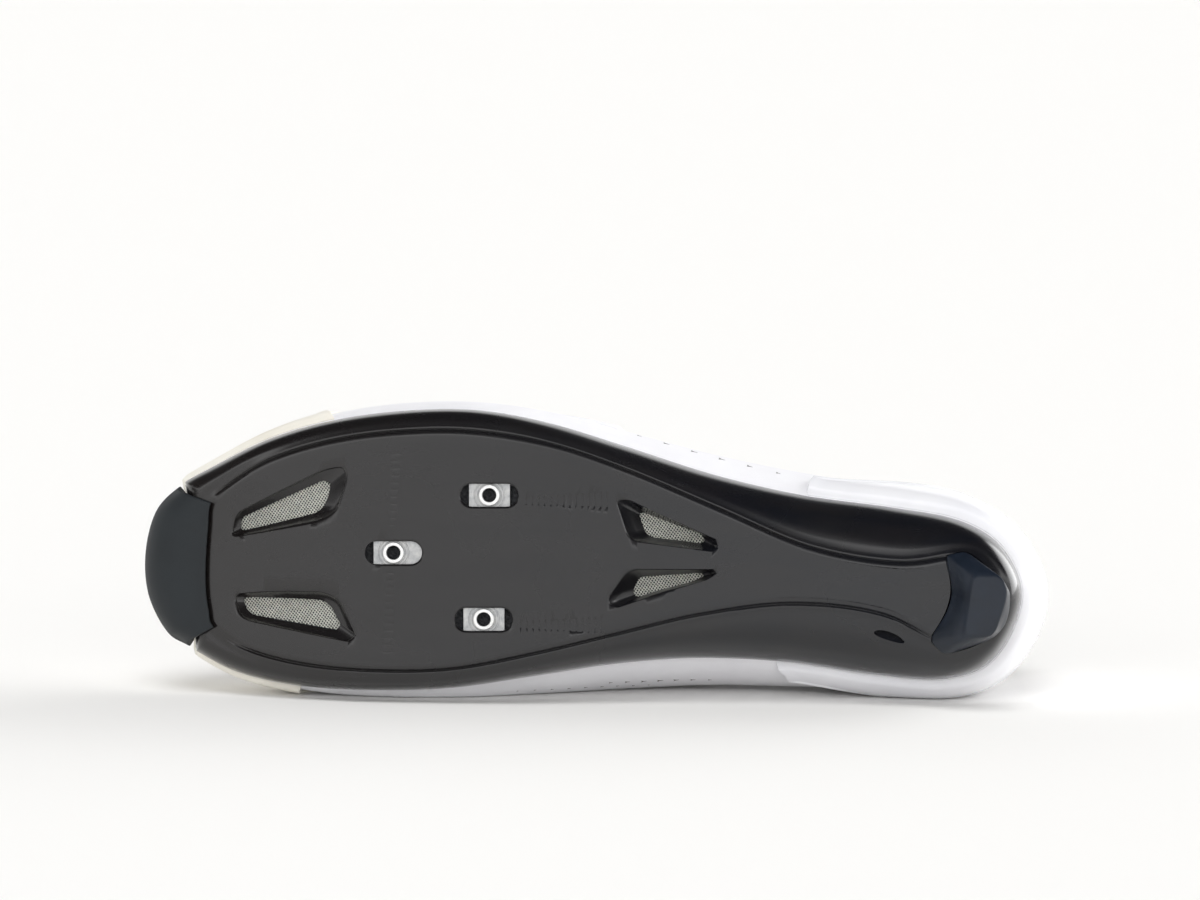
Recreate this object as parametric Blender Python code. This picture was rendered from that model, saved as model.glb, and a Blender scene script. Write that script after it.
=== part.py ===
# Cycling shoe for the left foot, lying on its medial side with the sole turned to the front.
# It is modelled standing: x runs from toe to heel, -y is the lateral side, z is up from the floor.
# The last lines lay it down. All sizes are in metres.
import math

import bmesh
import bpy
from mathutils import Matrix, Vector

# Sizes of the shoe
LENGTH = 0.276          # length that the shares along the shoe are of
BALL_WIDTH = 0.094      # over the ball of the foot
SOLE_HEIGHT = 0.027     # floor to the highest point of the sole's rim
SHOE_HEIGHT = 0.096     # floor to the top of the collar at the back
FLOOR = 0.005           # thickness of the sole under the ball
SHELL = 0.0022          # wall of the sole's cup
WALL = 0.0019           # wall of the upper
PADDING = 0.0022        # what the collar's padding adds to that wall
GAP = 0.0003            # between pieces that lie on each other
COVER_GAP = 0.0005      # the same where both are curved
SEAM = 0.0004           # between the rim of the sole and the upper
CHAMFER = 0.003         # width of the bevel round the raised bridge
BEVEL_RISE = 0.0014
BUMPER = 0.003          # rubber over the toe of the plate
BUMPER_START = 12.85    # stations between which the rim is drawn in for it
BUMPER_END = 18.15
INSOLE = 0.0026
GUARD = 0.0009
CUP = 0.0011
TONGUE = 0.003
STRAP = 0.0014

# It lies on its medial side: the way down to the floor, how far the floor is from the middle
# of the sole, and how softly the wall turns into the flat spots that it rests on
DOWN = (0.0727, 0.9897, 0.1233)
REST = 0.0433
REST_TURN = 0.0005

# Cleat hardware
SLOT_LENGTH = 0.0175
SLOT_WIDTH = 0.007
SLOT_TURN = math.radians(-5.3)
LIP = 0.0024            # what is left of the floor round a slot
NUT_PLATE = (0.0128, 0.0122, 0.0014)
NUT_FRONT_PLATE = (0.0170, 0.0122, 0.0014)
BARREL = 0.0064
BORE = 0.0042
TRAVEL = 0.0045         # how far a nut can be moved each way
CLEARANCE = 0.0004

STEPS = 2               # columns between two stations
STATIONS = 30           # round the shoe, from the heel over the lateral side and the toe

# Rim of the sole at each station: along the shoe from the toe, across it (lateral is minus),
# height. Shares of LENGTH, BALL_WIDTH and SOLE_HEIGHT.
RIM = (
    (0.975, -0.020, 0.96), (0.951, -0.175, 0.96), (0.900, -0.257, 0.95), (0.820, -0.281, 0.93),
    (0.720, -0.294, 0.89), (0.620, -0.334, 0.81), (0.520, -0.399, 0.67), (0.430, -0.453, 0.50),
    (0.350, -0.472, 0.41), (0.270, -0.448, 0.41), (0.190, -0.394, 0.50), (0.120, -0.314, 0.66),
    (0.060, -0.207, 0.80), (0.027, -0.140, 0.85), (0.002, -0.050, 0.88), (-0.006, 0.090, 0.89),
    (0.002, 0.230, 0.88), (0.027, 0.345, 0.85), (0.055, 0.387, 0.80), (0.110, 0.452, 0.68),
    (0.180, 0.478, 0.52), (0.260, 0.471, 0.43), (0.350, 0.440, 0.46), (0.440, 0.378, 0.63),
    (0.530, 0.313, 0.80), (0.620, 0.270, 0.93), (0.720, 0.256, 1.00), (0.820, 0.271, 0.98),
    (0.900, 0.262, 0.96), (0.951, 0.180, 0.96),
)
# Edge of the raised bridge at the same stations: along and across.
RIDGE = (
    (0.945, -0.010), (0.938, -0.090), (0.910, -0.140), (0.835, -0.095), (0.735, -0.118),
    (0.630, -0.216), (0.530, -0.310), (0.440, -0.374), (0.350, -0.394), (0.270, -0.371),
    (0.195, -0.322), (0.130, -0.246), (0.085, -0.150), (0.067, -0.090), (0.066, -0.010),
    (0.067, 0.100), (0.070, 0.190), (0.075, 0.255), (0.083, 0.310), (0.120, 0.365),
    (0.180, 0.396), (0.260, 0.399), (0.350, 0.370), (0.440, 0.295), (0.530, 0.206),
    (0.620, 0.118), (0.720, 0.055), (0.820, 0.062), (0.905, 0.150), (0.936, 0.090),
)
# Underside of the bridge: along the shoe, height as a share of SOLE_HEIGHT.
BRIDGE = (
    (0.00, 0.70), (0.07, 0.47), (0.15, 0.22), (0.22, 0.06), (0.265, 0.0), (0.41, 0.0),
    (0.48, 0.08), (0.56, 0.20), (0.66, 0.30), (0.76, 0.33), (0.86, 0.30), (0.93, 0.27),
    (1.00, 0.27),
)
# Thickness of the sole over the bridge: along the shoe, share of FLOOR.
THICKNESS = ((0.00, 0.95), (0.20, 1.0), (0.42, 1.0), (0.56, 1.45), (0.68, 1.1), (1.00, 0.95))
# Middle line of the bridge: along and across.
SPINE = ((0.12, 0.060), (0.20, 0.035), (0.30, 0.0), (0.45, -0.045), (0.58, -0.055),
         (0.75, -0.030), (0.90, 0.0))
# How the upper leaves the rim: station, outward and up as shares of BALL_WIDTH.
FLARE = (
    (0, 0.123, 0.13), (2, 0.132, 0.13), (4, 0.100, 0.13), (5, 0.115, 0.13), (6, 0.110, 0.14),
    (8, 0.098, 0.14), (10, 0.100, 0.15), (12, 0.060, 0.20), (15, 0.000, 0.24),
    (18, 0.020, 0.15), (20, 0.060, 0.08), (22, 0.085, 0.07), (24, 0.112, 0.09),
    (26, 0.090, 0.09), (28, 0.110, 0.09),
)
# Edge of the collar and throat: station, along, across, height (share of SHOE_HEIGHT), then
# the handle of the wall there: along, across and down as shares of BALL_WIDTH.
OPENING = (
    (0, 0.973, 0.000, 0.98, 0.094, 0.000, 0.20),
    (1.5, 0.945, -0.150, 0.955, 0.060, -0.080, 0.19),
    (3, 0.860, -0.255, 0.82, 0.020, -0.115, 0.17),
    (4, 0.770, -0.285, 0.735, 0.000, -0.100, 0.16),
    (5, 0.660, -0.255, 0.80, 0.000, -0.140, 0.19),
    (6, 0.585, -0.190, 0.965, 0.000, -0.210, 0.24),
    (7, 0.535, -0.155, 0.950, 0.000, -0.250, 0.23),
    (8, 0.485, -0.135, 0.885, -0.010, -0.280, 0.20),
    (9, 0.440, -0.120, 0.820, -0.030, -0.320, 0.16),
    (10, 0.400, -0.105, 0.760, -0.060, -0.330, 0.12),
    (11, 0.365, -0.092, 0.710, -0.140, -0.300, 0.09),
    (12, 0.340, -0.078, 0.680, -0.260, -0.230, 0.065),
    (13, 0.325, -0.055, 0.662, -0.320, -0.130, 0.05),
    (15, 0.314, 0.010, 0.650, -0.360, 0.030, 0.045),
    (17, 0.325, 0.065, 0.662, -0.320, 0.150, 0.05),
    (18, 0.340, 0.085, 0.680, -0.260, 0.240, 0.065),
    (19, 0.365, 0.095, 0.710, -0.140, 0.300, 0.09),
    (20, 0.400, 0.105, 0.760, -0.050, 0.320, 0.12),
    (21, 0.440, 0.120, 0.820, -0.020, 0.310, 0.16),
    (22, 0.485, 0.135, 0.885, 0.000, 0.300, 0.22),
    (23, 0.535, 0.155, 0.950, 0.000, 0.285, 0.26),
    (24, 0.585, 0.190, 0.975, 0.000, 0.250, 0.28),
    (25, 0.660, 0.245, 0.83, 0.000, 0.160, 0.24),
    (26, 0.770, 0.265, 0.770, 0.000, 0.105, 0.24),
    (27, 0.860, 0.240, 0.85, 0.020, 0.095, 0.28),
    (28.5, 0.945, 0.140, 0.960, 0.060, 0.070, 0.27),
)

for old in list(bpy.data.objects):
    bpy.data.objects.remove(old, do_unlink=True)

shoe = bpy.data.objects.new("shoe_frame", None)
bpy.context.scene.collection.objects.link(shoe)


# Curves through the rows of a table
def curve(rows, x, column=1):
    """Monotone cubic through (x, value) rows: level rows stay level."""
    xs = [row[0] for row in rows]
    ys = [row[column] for row in rows]
    if x <= xs[0]:
        return ys[0]
    if x >= xs[-1]:
        return ys[-1]
    slopes = [(ys[i + 1] - ys[i]) / (xs[i + 1] - xs[i]) for i in range(len(xs) - 1)]
    tangents = [slopes[0]]
    for a, b in zip(slopes, slopes[1:]):
        tangents.append(0.0 if a * b <= 0 else 2 * a * b / (a + b))
    tangents.append(slopes[-1])
    i = 0
    while x > xs[i + 1]:
        i += 1
    h = xs[i + 1] - xs[i]
    t = (x - xs[i]) / h
    return hermite(ys[i], ys[i + 1], tangents[i] * h, tangents[i + 1] * h, t)


def hermite(a, b, ta, tb, t):
    return ((1 + 2 * t) * (1 - t) ** 2 * a + t * (1 - t) ** 2 * ta
            + t * t * (3 - 2 * t) * b - t * t * (1 - t) * tb)


def ring(rows, station):
    """Smooth closed curve through rows that start with their station."""
    station = station % STATIONS
    n = len(rows)
    i = n - 1
    for k in range(n):
        if rows[k][0] <= station:
            i = k
    knots = []
    for k in (i - 1, i, i + 1, i + 2):
        knots.append(rows[k % n][0] + STATIONS * (k // n))
    values = [rows[k % n][1:] for k in (i - 1, i, i + 1, i + 2)]
    if station < knots[1]:
        station += STATIONS
    h0, h1, h2 = knots[1] - knots[0], knots[2] - knots[1], knots[3] - knots[2]
    t = (station - knots[1]) / h1
    out = []
    for a, b, c, d in zip(*values):
        s0, s1, s2 = (b - a) / h0, (c - b) / h1, (d - c) / h2
        tb = (s0 * h1 + s1 * h0) / (h0 + h1)
        tc = (s1 * h2 + s2 * h1) / (h1 + h2)
        out.append(hermite(b, c, tb * h1, tc * h1, t))
    return out


def smooth(a, b, x):
    t = min(max((x - a) / (b - a), 0.0), 1.0)
    return t * t * (3 - 2 * t)


RIM_ROWS = [(k,) + row for k, row in enumerate(RIM)]
RIDGE_ROWS = [(k,) + row for k, row in enumerate(RIDGE)]


def along(share):
    return (share - 0.5) * LENGTH


def bridge_z(x):
    return curve(BRIDGE, x / LENGTH + 0.5) * SOLE_HEIGHT


def bed_z(x):
    return bridge_z(x) + curve(THICKNESS, x / LENGTH + 0.5) * FLOOR


# Outline of the sole at a station
def measured_rim(w):
    s, y, z = ring(RIM_ROWS, w)
    return Vector((along(s), y * BALL_WIDTH, z * SOLE_HEIGHT))


def outward(w):
    step = measured_rim(w + 0.1) - measured_rim(w - 0.1)
    return Vector((-step.y, step.x, 0.0)).normalized()


def rim(w):
    """The rim of the plate, drawn in at the toe where the bumper covers it."""
    covered = smooth(BUMPER_START, 13.0, w) * (1.0 - smooth(18.0, BUMPER_END, w))
    return measured_rim(w) - outward(w) * (BUMPER + GAP) * covered


def ridge(w):
    s, y = ring(RIDGE_ROWS, w)
    x = along(s)
    return Vector((x, y * BALL_WIDTH, bridge_z(x)))


def spine(w):
    """Point of the middle line, the same for a station and the one facing it."""
    s = (ridge(w).x + ridge(STATIONS - w).x) / 2 / LENGTH + 0.5
    s = min(max(s, SPINE[0][0]), SPINE[-1][0])
    x = along(s)
    return Vector((x, curve(SPINE, s) * BALL_WIDTH, bridge_z(x)))


def flange(w, t, inside=0.0):
    """From the bevel of the bridge (t = 0) up to the rim (t = 1); inside is the depth in it."""
    edge = ridge(w)
    top = rim(w)
    way = Vector((top.x - edge.x, top.y - edge.y, 0.0))
    reach = way.length
    way.normalize()
    start = min(CHAMFER, reach * 0.4)
    low = edge.z + BEVEL_RISE
    a = Vector((start, low))
    d = Vector((reach, top.z))
    b = a + Vector(((d.x - a.x) * 0.62, (d.y - a.y) * 0.02))
    c = d - Vector(((d.x - a.x) * 0.02, (d.y - a.y) * 0.62))
    point = a * (1 - t) ** 3 + b * 3 * t * (1 - t) ** 2 + c * 3 * t * t * (1 - t) + d * t ** 3
    if inside:
        run = (b - a) * (1 - t) ** 2 + (c - b) * 2 * t * (1 - t) + (d - c) * t * t
        normal = Vector((-run.y, run.x)).normalized()
        if t > 0.999:
            normal = Vector((-1.0, 0.0))
        point = point + normal * inside
    place = edge + way * point.x
    return Vector((place.x, place.y, point.y))


def bed_edge(w):
    """Where the inside of the cup meets the bed of the sole."""
    low, high = 0.0, 1.0
    for _ in range(24):
        mid = (low + high) / 2
        p = flange(w, mid, SHELL)
        if p.z < bed_z(p.x):
            low = mid
        else:
            high = mid
    return high


# The wall of the upper
LEVELS = (0.0, 0.05, 0.12, 0.2, 0.3, 0.4, 0.5, 0.6, 0.7, 0.8, 0.9, 1.0)


def rested(p, w):
    """The wall pressed flat where it lies on the floor, with room for the cup and the guard."""
    down = Vector(DOWN).normalized()
    cup = (COVER_GAP + CUP) * smooth(25.4, 26.0, w % STATIONS)
    guard = (COVER_GAP + GUARD) * (1.0 - smooth(20.0, 20.6, w % STATIONS))
    over = p.dot(down) - (REST - cup - guard)
    if over <= -REST_TURN:
        return p
    if over >= REST_TURN:
        return p - down * over
    return p - down * ((over + REST_TURN) ** 2 / (4 * REST_TURN))


def skin(w, v):
    """Outside of the upper: v = 0 on the rim, v = 1 on the edge of collar and throat."""
    base = rim(w) + Vector((0, 0, SEAM))
    out, up = ring(FLARE, w)
    s, y, z, hx, hy, down = ring(OPENING, w)
    top = Vector((along(s), y * BALL_WIDTH, z * SHOE_HEIGHT))
    low = base + (outward(w) * out + Vector((0, 0, up))) * BALL_WIDTH
    high = top + Vector((hx, hy, -down)) * BALL_WIDTH
    p = (base * (1 - v) ** 3 + low * 3 * v * (1 - v) ** 2
         + high * 3 * v * v * (1 - v) + top * v ** 3)
    return rested(p, w)


def skin_normal(w, v):
    a = skin(w + 0.08, v) - skin(w - 0.08, v)
    v0, v1 = max(v - 0.02, 0.0), min(v + 0.02, 1.0)
    b = skin(w, v1) - skin(w, v0)
    return b.cross(a).normalized()


def wall(w, v):
    turn = min(w % STATIONS, STATIONS - w % STATIONS)
    padded = 1.0 - smooth(4.5, 6.0, turn)
    return WALL + PADDING * padded * smooth(0.55, 0.9, v) * (1.0 - 0.35 * smooth(0.9, 1.0, v))


def lining(w, v, extra=0.0):
    if v == 0.0:
        base = flange(w, 1.0, SHELL)
        return base + Vector((0, 0, SEAM))
    return skin(w, v) - skin_normal(w, v) * (wall(w, v) + extra)


# Meshes
def add(name, points, faces, colour, roughness=0.5, metallic=0.0, merge=0.0):
    mesh = bpy.data.meshes.new(name)
    mesh.from_pydata([tuple(p) for p in points], [], faces)
    bm = bmesh.new()
    bm.from_mesh(mesh)
    if merge:
        bmesh.ops.remove_doubles(bm, verts=bm.verts, dist=merge)
        bmesh.ops.dissolve_degenerate(bm, edges=bm.edges, dist=merge / 2)
    bmesh.ops.recalc_face_normals(bm, faces=bm.faces)
    for face in bm.faces:
        face.smooth = True
    bm.to_mesh(mesh)
    bm.free()
    item = bpy.data.objects.new(name, mesh)
    bpy.context.scene.collection.objects.link(item)
    item.parent = shoe
    material = bpy.data.materials.new(name)
    material.use_nodes = True
    shader = material.node_tree.nodes["Principled BSDF"]
    shader.inputs["Base Color"].default_value = (*colour, 1.0)
    shader.inputs["Roughness"].default_value = roughness
    shader.inputs["Metallic"].default_value = metallic
    mesh.materials.append(material)
    return item


def closed_rows(rows):
    """Faces of a tube: every row is closed, and the last row is joined to the first."""
    n, m = len(rows), len(rows[0])
    points = [p for row in rows for p in row]
    faces = []
    for i in range(n):
        for j in range(m):
            a, b = i * m + j, i * m + (j + 1) % m
            c, d = ((i + 1) % n) * m + (j + 1) % m, ((i + 1) % n) * m + j
            faces.append((a, b, c, d))
    return points, faces


def plate(front, back):
    """Closed body between two open grids of the same size."""
    n, m = len(front), len(front[0])
    points = [p for row in front for p in row] + [p for row in back for p in row]
    size = n * m
    faces = []
    for i in range(n - 1):
        for j in range(m - 1):
            a, b, c, d = i * m + j, i * m + j + 1, (i + 1) * m + j + 1, (i + 1) * m + j
            faces.append((a, b, c, d))
            faces.append((size + d, size + c, size + b, size + a))
    border = [j for j in range(m)] + [i * m + m - 1 for i in range(1, n)]
    border += [(n - 1) * m + j for j in range(m - 2, -1, -1)]
    border += [i * m for i in range(n - 2, 0, -1)]
    for a, b in zip(border, border[1:] + border[:1]):
        faces.append((b, a, size + a, size + b))
    return points, faces


def prism(outline, low, high):
    """Points and faces between an outline at one height and a second one at another."""
    bottom, top = outline if isinstance(outline[0][0], tuple) else (outline, outline)
    n = len(bottom)
    points = [(x, y, low) for x, y in bottom] + [(x, y, high) for x, y in top]
    faces = [tuple(range(n - 1, -1, -1)), tuple(range(n, 2 * n))]
    for i in range(n):
        j = (i + 1) % n
        faces.append((i, j, n + j, n + i))
    return points, faces


def cut(body, name, points, faces):
    tool = add(name, points, faces, (0.5, 0.5, 0.5))
    tool.hide_render = True
    tool.display_type = "WIRE"
    step = body.modifiers.new(name, "BOOLEAN")
    step.operation = "DIFFERENCE"
    step.solver = "EXACT"
    step.object = tool
    return tool


columns = sorted([k / STEPS for k in range(STATIONS * STEPS)] + [BUMPER_START, BUMPER_END])

# Sole plate: bridge, bevel and flange below, bed and cup above
below = []
for share in (0.0, 0.5, 1.0):
    row = []
    for w in columns:
        a, b = spine(w), ridge(w)
        p = a.lerp(b, share)
        p.z = bridge_z(p.x)
        row.append(p)
    below.append(row)
for t in (0.0, 0.2, 0.4, 0.6, 0.8, 1.0):
    below.append([flange(w, t) for w in columns])
above = []
for share in (1.0, 0.66, 0.33):
    row = []
    for w in columns:
        start = bed_edge(w)
        row.append(flange(w, start + (1 - start) * share, SHELL))
    above.append(row)


def bed_point(w, share, inset=0.0):
    edge = flange(w, bed_edge(w), SHELL)
    middle = spine(w)
    way = Vector((edge.x - middle.x, edge.y - middle.y, 0.0))
    p = middle + way * share
    if inset:
        p = p - way.normalized() * inset
    p.z = bed_z(p.x)
    return p


for share in (1.0, 0.55, 0.0):
    above.append([bed_point(w, share) for w in columns])
points, faces = closed_rows(below + above)
n = len(columns)
faces = [f for f in faces if not (min(f) < n and max(f) >= (len(below) + len(above) - 1) * n)]
sole = add("sole_plate", points, faces, (0.02, 0.02, 0.022), 0.15, merge=0.00002)

# Slots, the pockets over them and the nuts
SLOTS = (
    ("front", 0.275, 0.017, NUT_FRONT_PLATE, 0.0022),
    ("rear_lateral", 0.375, -0.198, NUT_PLATE, 0.0),
    ("rear_medial", 0.3815, 0.206, NUT_PLATE, 0.0),
)


def turned(outline, x, y):
    c, s = math.cos(SLOT_TURN), math.sin(SLOT_TURN)
    return [(x + c * a - s * b, y + s * a + c * b) for a, b in outline]


def slot_outline(length, width, corners=5):
    r = width / 2
    half = length / 2 - r
    out = []
    for k in range(corners + 1):
        a = math.radians(-90 + 180 * k / corners)
        out.append((half + r * math.cos(a), r * math.sin(a)))
    for k in range(corners + 1):
        a = math.radians(90 + 180 * k / corners)
        out.append((-half + r * math.cos(a), r * math.sin(a)))
    return out


def block_outline(length, width, corner):
    out = []
    for sx, sy, start in ((1, -1, -90), (1, 1, 0), (-1, 1, 90), (-1, -1, 180)):
        for k in range(3):
            a = math.radians(start + 45 * k)
            out.append((sx * (length / 2 - corner) + corner * math.cos(a),
                        sy * (width / 2 - corner) + corner * math.sin(a)))
    return out


def nut(name, x, y, size, shift):
    """Threaded nut: a flat plate over the floor of the slot and a barrel down through it."""
    round_steps = 20
    low, shoulder, high = GAP, LIP + GAP, LIP + GAP + size[2]
    outline = []
    for k in range(round_steps):
        a = 2 * math.pi * (k + 0.5) / round_steps
        c, s = math.cos(a), math.sin(a)
        reach = 1.0 / max(abs(c) / (size[0] / 2), abs(s) / (size[1] / 2))
        reach = min(reach, 0.92 * math.hypot(size[0], size[1]) / 2)
        outline.append((shift + reach * c, reach * s))
    circle = [(math.cos(2 * math.pi * (k + 0.5) / round_steps),
               math.sin(2 * math.pi * (k + 0.5) / round_steps)) for k in range(round_steps)]
    barrel = [(BARREL / 2 * c, BARREL / 2 * s) for c, s in circle]
    bore = [(BORE / 2 * c, BORE / 2 * s) for c, s in circle]
    rings = [(bore, low), (barrel, low), (barrel, shoulder), (outline, shoulder),
             (outline, high), (bore, high)]
    rows = []
    for shape, z in rings:
        rows.append([Vector((px, py, z)) for px, py in turned(shape, x, y)])
    pts, fcs = closed_rows(rows)
    item = add(name, pts, fcs, (0.7, 0.7, 0.7), 0.3, 1.0)
    return item


for tag, s, across, size, shift in SLOTS:
    x, y = along(s), across * BALL_WIDTH
    hole = turned(slot_outline(SLOT_LENGTH, SLOT_WIDTH), x, y)
    cut(sole, "slot_" + tag, *prism(hole, -0.002, LIP + 0.0002))
    room = block_outline(size[0] + 2 * TRAVEL + 2 * CLEARANCE, size[1] + 2 * CLEARANCE, 0.0015)
    room = turned([(a + shift, b) for a, b in room], x, y)
    cut(sole, "pocket_" + tag, *prism(room, LIP, FLOOR + 0.002))
    nut("cleat_nut_" + tag, x, y, size, shift)

# Vents: sloping walls from below, a pocket from inside, a woven window in the pocket.
# Points are along the shoe (share of LENGTH) and across it (share of BALL_WIDTH).
VENTS = (
    ("front_lateral",
     ((0.093, 0.014), (0.096, -0.065), (0.192, -0.232), (0.211, -0.245), (0.214, -0.200),
      (0.206, -0.105), (0.192, -0.074)),
     ((0.103, -0.012), (0.102, -0.052), (0.187, -0.190), (0.194, -0.182), (0.193, -0.150),
      (0.190, -0.116), (0.183, -0.092))),
    ("front_medial",
     ((0.102, 0.200), (0.150, 0.180), (0.201, 0.168), (0.218, 0.187), (0.240, 0.296),
      (0.233, 0.316), (0.120, 0.278), (0.110, 0.258)),
     ((0.113, 0.208), (0.155, 0.200), (0.200, 0.195), (0.209, 0.212), (0.220, 0.262),
      (0.215, 0.279), (0.125, 0.258), (0.117, 0.240))),
    ("mid_lateral",
     ((0.533, -0.112), (0.542, -0.095), (0.624, -0.084), (0.631, -0.099), (0.628, -0.122),
      (0.530, -0.222), (0.517, -0.216)),
     ((0.552, -0.124), (0.560, -0.112), (0.612, -0.108), (0.616, -0.116), (0.611, -0.138),
      (0.548, -0.186), (0.543, -0.182))),
    ("mid_medial",
     ((0.537, 0.005), (0.628, -0.022), (0.632, -0.012), (0.621, 0.014), (0.572, 0.066),
      (0.530, 0.125), (0.520, 0.118), (0.519, 0.095)),
     ((0.549, 0.023), (0.616, -0.008), (0.619, 0.000), (0.606, 0.022), (0.572, 0.058),
      (0.552, 0.084), (0.546, 0.082), (0.545, 0.062))),
)


def vent_places(outline, grow=0.0):
    pts = [Vector((along(s), y * BALL_WIDTH)) for s, y in outline]
    middle = sum(pts, Vector((0.0, 0.0))) / len(pts)
    return [tuple(p + (p - middle).normalized() * grow) for p in pts]


def sloped(pts, height):
    """Heights of a plane that follows the bed over the vent."""
    xs = [p[0] for p in pts]
    a, b = min(xs), max(xs)
    za, zb = bed_z(a), bed_z(b)
    return [(x, y, za + (zb - za) * (x - a) / (b - a) + height) for x, y in pts]


def loft(bottom, top):
    k = len(bottom)
    pts = list(bottom) + list(top)
    fcs = [tuple(range(k - 1, -1, -1)), tuple(range(k, 2 * k))]
    for i in range(k):
        j = (i + 1) % k
        fcs.append((i, j, k + j, k + i))
    return pts, fcs


for tag, outer, inner in VENTS:
    mouth = vent_places(outer)
    window = vent_places(inner)
    seat = vent_places(inner, 0.0022)
    mesh_edge = vent_places(inner, 0.0018)
    depth = -0.0024
    low = []
    for (x, y), (u, v) in zip(mouth, window):
        low.append((x + (x - u) * 0.3, y + (y - v) * 0.3, bridge_z(x) - 0.0012))
    cut(sole, "vent_" + tag, *loft(low, sloped(window, depth + 0.0003)))
    cut(sole, "seat_" + tag, *loft(sloped(seat, depth), sloped(seat, 0.006)))
    add("vent_mesh_" + tag, *loft(sloped(mesh_edge, depth + GAP),
                                  sloped(mesh_edge, depth + GAP + 0.001)),
        (0.6, 0.6, 0.6), 0.4, 0.6)

# Toe bumper: rubber over the flange of the toe
bumper_columns = [w for w in columns if 13.0 <= w <= 18.0]
front, back = [], []
for w in bumper_columns:
    base, face = [], []
    way = (rim(w) - ridge(w))
    way = Vector((way.x, way.y, 0.0)).normalized()
    for t in (0.0, 0.2, 0.4, 0.6, 0.8, 1.0):
        base.append(flange(w, t, -GAP))
        face.append(flange(w, t, -(GAP + BUMPER * (0.55 + 0.45 * t))))
    first = ridge(w) + way * 0.0004
    first.z = bridge_z(first.x) - GAP
    skirt = first + Vector((0, 0, -BUMPER * 0.4))
    end = rim(w) + way * GAP
    top = rim(w) + outward(w) * (GAP + BUMPER)
    front.append([skirt] + face[:-1] + [top])
    back.append([first] + base[:-1] + [end])
add("toe_bumper", *plate(front, back), (0.03, 0.032, 0.035), 0.7)

# Heel pad: a rubber foot with a concave front, standing on the bridge
PAD = (
    (0.886, -0.140), (0.905, -0.157), (0.913, -0.149), (0.952, -0.070), (0.960, -0.040),
    (0.961, 0.018), (0.958, 0.068), (0.948, 0.110), (0.933, 0.135), (0.900, 0.178),
    (0.891, 0.180), (0.878, 0.148), (0.878, 0.124), (0.886, 0.082), (0.893, 0.037),
    (0.896, -0.013), (0.893, -0.062), (0.887, -0.110),
)
FACE = (
    (0.912, -0.085), (0.924, -0.088), (0.932, -0.086), (0.946, -0.056), (0.951, -0.036),
    (0.952, 0.010), (0.950, 0.050), (0.944, 0.088), (0.934, 0.112), (0.920, 0.124),
    (0.912, 0.118), (0.908, 0.104), (0.908, 0.092), (0.910, 0.062), (0.911, 0.030),
    (0.911, -0.004), (0.911, -0.032), (0.911, -0.060),
)


pad_top = [(along(s), y * BALL_WIDTH, bridge_z(along(s)) - GAP) for s, y in PAD]
pad_mid = [(along(s), y * BALL_WIDTH, 0.0030) for s, y in PAD]
pad_low = [(along(s) + (along(0.92) - along(s)) * 0.06, y * BALL_WIDTH * 0.94, 0.0018)
           for s, y in PAD]
face_up = [(along(s), y * BALL_WIDTH, 0.0018) for s, y in FACE]
face_low = [(along(s), y * BALL_WIDTH, 0.0) for s, y in FACE]
rows = [pad_top, pad_mid, pad_low, face_up, face_low]
points = [p for row in rows for p in row]
m = len(PAD)
faces = []
for i in range(len(rows) - 1):
    for j in range(m):
        k = (j + 1) % m
        faces.append((i * m + j, i * m + k, (i + 1) * m + k, (i + 1) * m + j))
faces.append(tuple(range(m)))
faces.append(tuple(range(4 * m, 5 * m)))
add("heel_pad", points, faces, (0.03, 0.035, 0.04), 0.7)

# Insole on the bed of the cup
under, over = [], []
for share, inset in ((0.0, 0.0), (0.55, 0.0), (1.0, 0.0012)):
    low_row = []
    for w in columns:
        p = bed_point(w, share, inset)
        p.z = p.z + GAP
        low_row.append(p)
    under.append(low_row)
for share, inset in ((1.0, 0.0024), (0.55, 0.0), (0.0, 0.0)):
    high_row = []
    for w in columns:
        p = bed_point(w, share, inset)
        p.z = p.z + GAP + INSOLE
        high_row.append(p)
    over.append(high_row)
points, faces = closed_rows(under + over)
n = len(columns)
faces = [f for f in faces if not (min(f) < n and max(f) >= 5 * n)]
add("insole", points, faces, (0.1, 0.1, 0.11), 0.9, merge=0.00002)

# Upper: one hollow wall, open at the collar and throat and underneath
outside = [[skin(w, v) for w in columns] for v in LEVELS]
inside = [[lining(w, v) for w in columns] for v in reversed(LEVELS)]
upper = add("upper", *closed_rows(outside + inside), (0.85, 0.85, 0.86), 0.6)


# Covers that lie on the upper, cut from its own surface
def cover(name, stations, low, high, rows, gap, thick, colour, roughness):
    front, back = [], []
    for w in stations:
        a, b = low(w), high(w)
        base, face = [], []
        for k in range(rows + 1):
            v = a + (b - a) * k / rows
            n = skin_normal(w, v)
            base.append(skin(w, v) + n * gap)
            face.append(skin(w, v) + n * (gap + thick))
        front.append(face)
        back.append(base)
    return add(name, *plate(front, back), colour, roughness)


cover("toe_guard", [w for w in columns if 10.0 <= w <= 20.0],
      lambda w: 0.03, lambda w: 0.30 + 0.12 * math.cos((w - 15.0) * 0.25), 5,
      COVER_GAP, GUARD, (0.82, 0.79, 0.72), 0.6)
cover("heel_cup", [k / STEPS for k in range(-4 * STEPS, 4 * STEPS + 1)],
      lambda w: 0.03, lambda w: 0.22 + 0.36 * (1.0 - smooth(1.2, 4.0, abs(w))), 6,
      COVER_GAP, CUP, (0.9, 0.9, 0.9), 0.15)


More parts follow.
